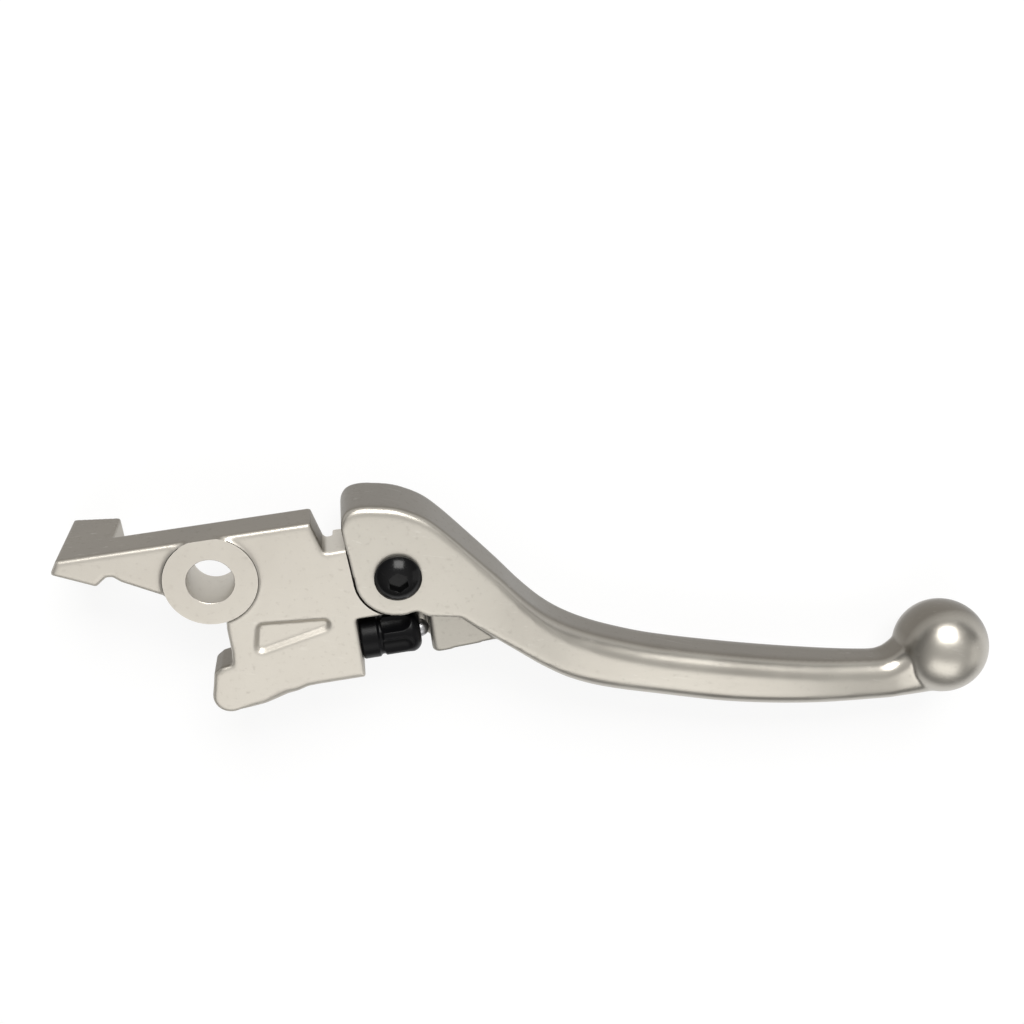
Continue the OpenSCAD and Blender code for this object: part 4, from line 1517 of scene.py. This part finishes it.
@dataclass
class HingeHardware(Assembly):
    """Screw, lock nut, bush, washer and take-up spring of the hinge."""

    head_r: float = 5.1
    head_h: float = 3.4
    head_rim: float = 0.9
    socket_af: float = 4.0
    socket_depth: float = 1.9
    screw_end: float = -13.1
    thread_pitch: float = 1.0
    thread_depth: float = 0.3
    thread_from: float = -6.5
    nut_bevel: Point2 = (0.75, 0.6)
    collar_bevel: float = 0.35
    collar_sink: float = 0.4

    def screw_profile(self) -> list[Point2]:
        """Half section of the screw with its dome and its thread.

        Returns:
            Pairs of radius and height.
        """
        dome_h = self.head_h - self.head_rim
        dome_r = (self.head_r**2 + dome_h**2) / (2 * dome_h)
        half = math.degrees(math.asin(self.head_r / dome_r))
        front = HINGE.blade_front
        dome = arc((0.0, front + self.head_h - dome_r), dome_r, 90.0 - half, 90.0, 24)
        thread: list[Point2] = []
        z = self.screw_end + 0.5
        while z < self.thread_from:
            thread += [(HINGE.screw_r, z), (HINGE.screw_r - self.thread_depth, z + self.thread_pitch / 2)]
            z += self.thread_pitch
        tip = [(0.0, self.screw_end), (HINGE.screw_r - 0.5, self.screw_end)]
        under = [(self.head_r - 0.15, front), (self.head_r, front + 0.15)]
        return tip + thread + [(HINGE.screw_r, z), (HINGE.screw_r, front)] + under + dome

    def screw(self) -> None:
        """Make and dress the domed screw with its hexagon socket."""
        piece = Shell.turned(self.screw_profile()).placed(HINGE.place).as_object("hinge_screw")
        top = HINGE.blade_front + self.head_h
        key_r = self.socket_af / 2 * AF_TO_R
        key = Shell.rod(key_r, top - self.socket_depth, top + 1.0, HEXAGON)
        bevel = Shell.rod(key_r - 0.25, top - 0.42, top + 0.3, SMALL, key_r + 0.47)
        machined(piece, [key.placed(HINGE.place), bevel.placed(HINGE.place)])
        self.palette.dress(piece, Body.BLADE, Slot.BLACK_STEEL, "pivot_screw", sharp_angle=25.0)

    def nut(self) -> None:
        """Make and dress the lock nut: chamfered hexagon with a round collar."""
        seat = HINGE.blade_back + HINGE.pocket_depth
        end, hex_end = seat - HINGE.nut_h, seat - HINGE.nut_h + HINGE.nylon_h
        corner_r, collar_r = HINGE.nut_af / 2 * AF_TO_R, HINGE.nut_af / 2 - 0.5
        piece = Shell.rod(corner_r, hex_end, seat, HEXAGON).placed(turned_by(30.0, "Z")).as_object("lock_nut_body")
        flat_r, bevel_h = corner_r - self.nut_bevel[0], self.nut_bevel[1]
        outer = Shell.turned([(0.0, hex_end), (flat_r, hex_end), (corner_r + 0.2, hex_end + bevel_h),
                              (corner_r + 0.2, seat - bevel_h), (flat_r, seat), (0.0, seat)])
        combine(piece, outer, "INTERSECT")
        bevel, top = self.collar_bevel, seat - self.collar_sink
        collar = Shell.turned([(0.0, end), (collar_r - bevel, end), (collar_r, end + bevel), (collar_r, top),
                               (0.0, top)])
        combine(piece, collar, "UNION")
        hole = Shell.rod(HINGE.screw_r + HINGE.screw_gap / 2, -FAR, FAR, SMALL)
        machined(piece, [hole, Shell.rod(collar_r - 0.5, -FAR, hex_end)])
        piece.data.transform(HINGE.place)
        self.palette.dress(piece, Body.BLADE, Slot.ZINC, "lock_nut", sharp_angle=25.0)

    def spring(self) -> None:
        """Make and dress the take-up spring."""
        top = HINGE.tongue_back + HINGE.pocket_height - (HINGE.spring_wire + HINGE.spring_gap) / 2
        steps = 48
        count = int(steps * HINGE.spring_turns)
        path = [HINGE.on_coil(0.0, top + HINGE.spring_leg), HINGE.on_coil(0.0, top + HINGE.spring_wire / 2)]
        path += [HINGE.on_coil(i / steps, top - HINGE.spring_height * i / count) for i in range(2, count - 1)]
        path += [HINGE.on_coil(HINGE.spring_turns, top - HINGE.spring_height - HINGE.spring_wire / 2),
                 HINGE.on_coil(HINGE.spring_turns, HINGE.slot_back - HINGE.spring_leg)]
        piece = wire_object("take_up_spring_wire", path, HINGE.spring_wire / 2)
        self.palette.dress(piece, Body.ARM, Slot.SPRING, "take_up_spring")

    def build(self) -> None:
        """Make all the hardware and paint the plain rings."""
        self.screw()
        self.nut()
        self.spring()
        for ring, slot in (("nylon_ring", Slot.NYLON), ("hinge_bush", Slot.ZINC), ("thrust_washer", Slot.ZINC)):
            self.palette.paint_solid(ring, slot)


# ---------------------------------------------------------------- reach adjuster


@dataclass
class ReachAdjuster(Assembly):
    """Fluted knob, threaded plunger and the click detent."""

    neck: float = 0.5
    nose_round: float = 2.4
    edge_break: float = 0.4
    grain: float = 0.13
    passes: int = 4
    end_bevel: float = 0.4
    thread_pitch: float = 0.7
    thread_depth: float = 0.22

    def knob(self) -> None:
        """Make and dress the fluted knob."""
        size = ADJUSTER
        r, end, collar = size.knob_r, size.knob_len, size.knob_collar
        inner = size.plunger_r + size.run_fit
        profile = [(inner, 0.0), (r - self.edge_break, 0.0), (r, self.edge_break), (r, collar - self.edge_break),
                   (r - self.neck, collar), (r - self.neck, collar + self.neck), (r, collar + 2 * self.neck)]
        profile += arc((r - self.nose_round, end - self.nose_round), self.nose_round, 0.0, 90.0, 14)
        profile += [(inner, end)]
        piece = Shell.turned(profile, LARGE).as_object("adjuster_knob_moulding")
        reach = math.sqrt(size.flute_r**2 - (size.flute_r - size.flute_depth) ** 2)
        out = r - size.flute_depth + size.flute_r
        top = end - size.knob_round - reach
        tools: list[Shell] = []
        for number in range(size.flutes):
            turn = turned_by(180.0 + size.flute_turn + 360.0 * number / size.flutes, "Z")
            tools.append(Shell.rod(size.flute_r, collar + self.neck, top, SMALL).placed(turn @ at(out, 0.0, 0.0)))
            tools.append(Shell.ball(size.flute_r).placed(turn @ at(out, 0.0, top)))
        machined(piece, tools)
        fuse(piece, self.grain, self.passes)
        race_r = size.detent_ball_r + size.run_fit
        race = Shell.turned([(size.detent_r + race_r * math.cos(math.radians(a)),
                              size.detent_depth - race_r + race_r * math.sin(math.radians(a)))
                             for a in range(0, 360, 15)])
        machined(piece, [race])
        piece.data.transform(size.along(size.knob_x))
        self.palette.dress(piece, Body.KNOB, Slot.PLASTIC, "adjuster_knob")

    def plunger(self) -> None:
        """Make and dress the threaded plunger with its domed tip."""
        size = ADJUSTER
        r = size.plunger_r
        length = size.tip_x - size.seat_x + size.plunger_tail
        profile: list[Point2] = [(0.0, 0.0), (r - self.end_bevel, 0.0)]
        z = self.end_bevel
        while z < length - r - 1.0:
            profile += [(r, z), (r - self.thread_depth, z + self.thread_pitch / 2)]
            z += self.thread_pitch
        profile += [(r, z)] + arc((0.0, length - r), r, 0.0, 90.0, 16)
        piece = Shell.turned(profile, SMALL).as_object("adjuster_plunger_screw")
        flat = Shell.block((-2 * r, -r - CUT, -CUT),
                           (-r + size.plunger_flat, r + CUT, size.plunger_tail + size.plunger_travel + CUT))
        machined(piece, [flat])
        piece.data.transform(size.along(size.seat_x - size.plunger_tail))
        self.palette.dress(piece, Body.PLUNGER, Slot.ZINC, "adjuster_plunger", sharp_angle=40.0)

    def detent(self) -> None:
        """Make and dress the ball and the spring of the click detent."""
        size = ADJUSTER
        ball = Shell.ball(size.detent_ball_r, DETENT).placed(
            at(size.detent_x, -size.y - size.detent_r, size.z)).as_object("detent_ball_steel")
        self.palette.dress(ball, Body.ARM, Slot.SPRING, "detent_ball")
        r = size.detent_ball_r - size.detent_wire / 2 - size.run_fit
        steps = 24
        count = int(steps * size.detent_turns)
        rise = size.detent_len - size.detent_wire
        path = [(r * math.cos(math.tau * i / steps), r * math.sin(math.tau * i / steps),
                 size.detent_wire / 2 + rise * i / count) for i in range(count + 1)]
        coil = wire_object("detent_spring_wire", path, size.detent_wire / 2)
        coil.data.transform(size.along(size.detent_floor, size.detent_r))
        self.palette.dress(coil, Body.ARM, Slot.SPRING, "detent_spring")

    def build(self) -> None:
        """Make the whole adjuster."""
        self.knob()
        self.plunger()
        self.detent()


# ---------------------------------------------------------------- studio


@dataclass(frozen=True)
class Softbox:
    """A rectangular studio lamp, in metres."""

    name: str
    place: Point3
    target: Point3
    width: float
    height: float
    power: float
    tint: Colour = (1.0, 0.99, 0.97)

    def light(self) -> None:
        """Put the lamp in the scene and aim it."""
        data = bpy.data.lights.new(self.name, "AREA")
        data.shape = "RECTANGLE"
        data.size, data.size_y = self.width, self.height
        data.energy = self.power
        data.color = self.tint
        obj = in_scene(self.name, data)
        obj.location = self.place
        aim = Vector(self.target) - Vector(self.place)
        obj.rotation_euler = aim.to_track_quat("-Z", "Y").to_euler()


@dataclass
class Studio:
    """Camera, floor, lamps and world."""

    focal_px: float = 1300.0
    image_px: float = 1024.0
    sensor: float = 36.0
    place: Point3 = (0.04254217, 0.11120103, 0.26005464)
    right: Point3 = (0.98550296, -0.10759291, 0.13117802)
    up: Point3 = (0.14936399, 0.91691923, -0.37006692)
    back: Point3 = (-0.08046307, 0.38429532, 0.91969712)
    floor_half: float = 3.0
    lamps: tuple[Softbox, ...] = (
        Softbox("overhead", (-0.05, -0.58, 0.80), (0.06, -0.03, 0.0), 1.1, 0.60, 2.55),
        Softbox("side", (0.90, -0.25, 0.30), (0.12, -0.04, 0.0), 0.6, 0.5, 0.6),
        Softbox("rim", (0.20, 0.68, 0.56), (0.06, -0.02, 0.0), 0.55, 0.46, 8.5),
    )
    sky: Colour = (1.0, 0.99, 0.97)
    sky_low: float = 0.10
    sky_high: float = 0.66
    white_share: float = 0.84

    def camera(self) -> None:
        """Put the camera where the photograph was taken from."""
        data = bpy.data.cameras.new("camera")
        data.sensor_width = self.sensor
        data.lens = self.focal_px / self.image_px * self.sensor
        data.clip_start, data.clip_end = 0.01, 20.0
        obj = in_scene("camera", data)
        axes = Matrix((self.right, self.up, self.back)).transposed().to_4x4()
        obj.matrix_world = Matrix.Translation(self.place) @ axes
        bpy.context.scene.camera = obj

    def floor(self) -> None:
        """Lay the pale floor that the part rests on."""
        shell = Shell()
        low = CAD_BOX[0].z * 1000.0 - 0.05
        bmesh.ops.create_grid(shell.bm, x_segments=1, y_segments=1, size=self.floor_half * 1000.0,
                              matrix=at(60.0, -20.0, low))
        obj = shell.as_object("floor")
        obj.data.transform(TO_METRES)
        made = bpy.data.materials.new("studio_floor")
        wiring = Wiring.of(made)
        cloud = wiring.noise(wiring.place(), 6.0, 2.0, 0.5)
        tone = wiring.blend(cloud, (0.93, 0.93, 0.93, 1.0), (0.95, 0.95, 0.95, 1.0))
        paint = {"Base Color": tone, "Roughness": 0.9, "Specular IOR Level": 0.1}
        usual = wiring.node("BsdfPrincipled", paint).outputs[0]
        rays = wiring.node("LightPath").outputs
        seen = wiring.total(rays["Is Camera Ray"], rays["Is Glossy Ray"], rays["Is Transmission Ray"])
        wiring.white_for(wiring.times(seen, self.white_share), "Emission", usual, "OutputMaterial")
        obj.data.materials.append(made)

    def world(self) -> None:
        """Fill the room with soft light that comes mostly from the ceiling."""
        world = bpy.data.worlds.new("room")
        wiring = Wiring.of(world)
        height = wiring.parts(wiring.place("Generated"))["Z"]
        strength = wiring.ramp(height, 0.15, 0.85, self.sky_low, self.sky_high)
        sky = wiring.node("Background", {"Color": (*self.sky, 1.0), "Strength": strength}).outputs[0]
        rays = wiring.node("LightPath").outputs
        low_band = wiring.times(rays["Is Glossy Ray"], wiring.ramp(height, 0.12, 0.02))
        seen = wiring.total(rays["Is Camera Ray"], rays["Is Transmission Ray"], low_band)
        wiring.white_for(seen, "Background", sky, "OutputWorld")
        bpy.context.scene.world = world

    def build(self) -> None:
        """Set up the whole studio."""
        self.camera()
        self.floor()
        self.world()
        for lamp in self.lamps:
            lamp.light()
        bpy.context.scene.view_settings.view_transform = "Standard"
        LOG.info("studio ready with %d lamps", len(self.lamps))


def write_sizes() -> None:
    """Bring the view layer up to date."""
    bpy.context.view_layer.update()


def main() -> None:
    """Build the part and its studio in order."""
    logging.basicConfig(level=logging.INFO, format="%(name)s: %(message)s")
    Studio().build()
    palette = Palette()
    for kind in (BaseArm, LeverBlade, HingeHardware, ReachAdjuster):
        kind(palette).build()
    write_sizes()


if __name__ == "__main__":
    main()
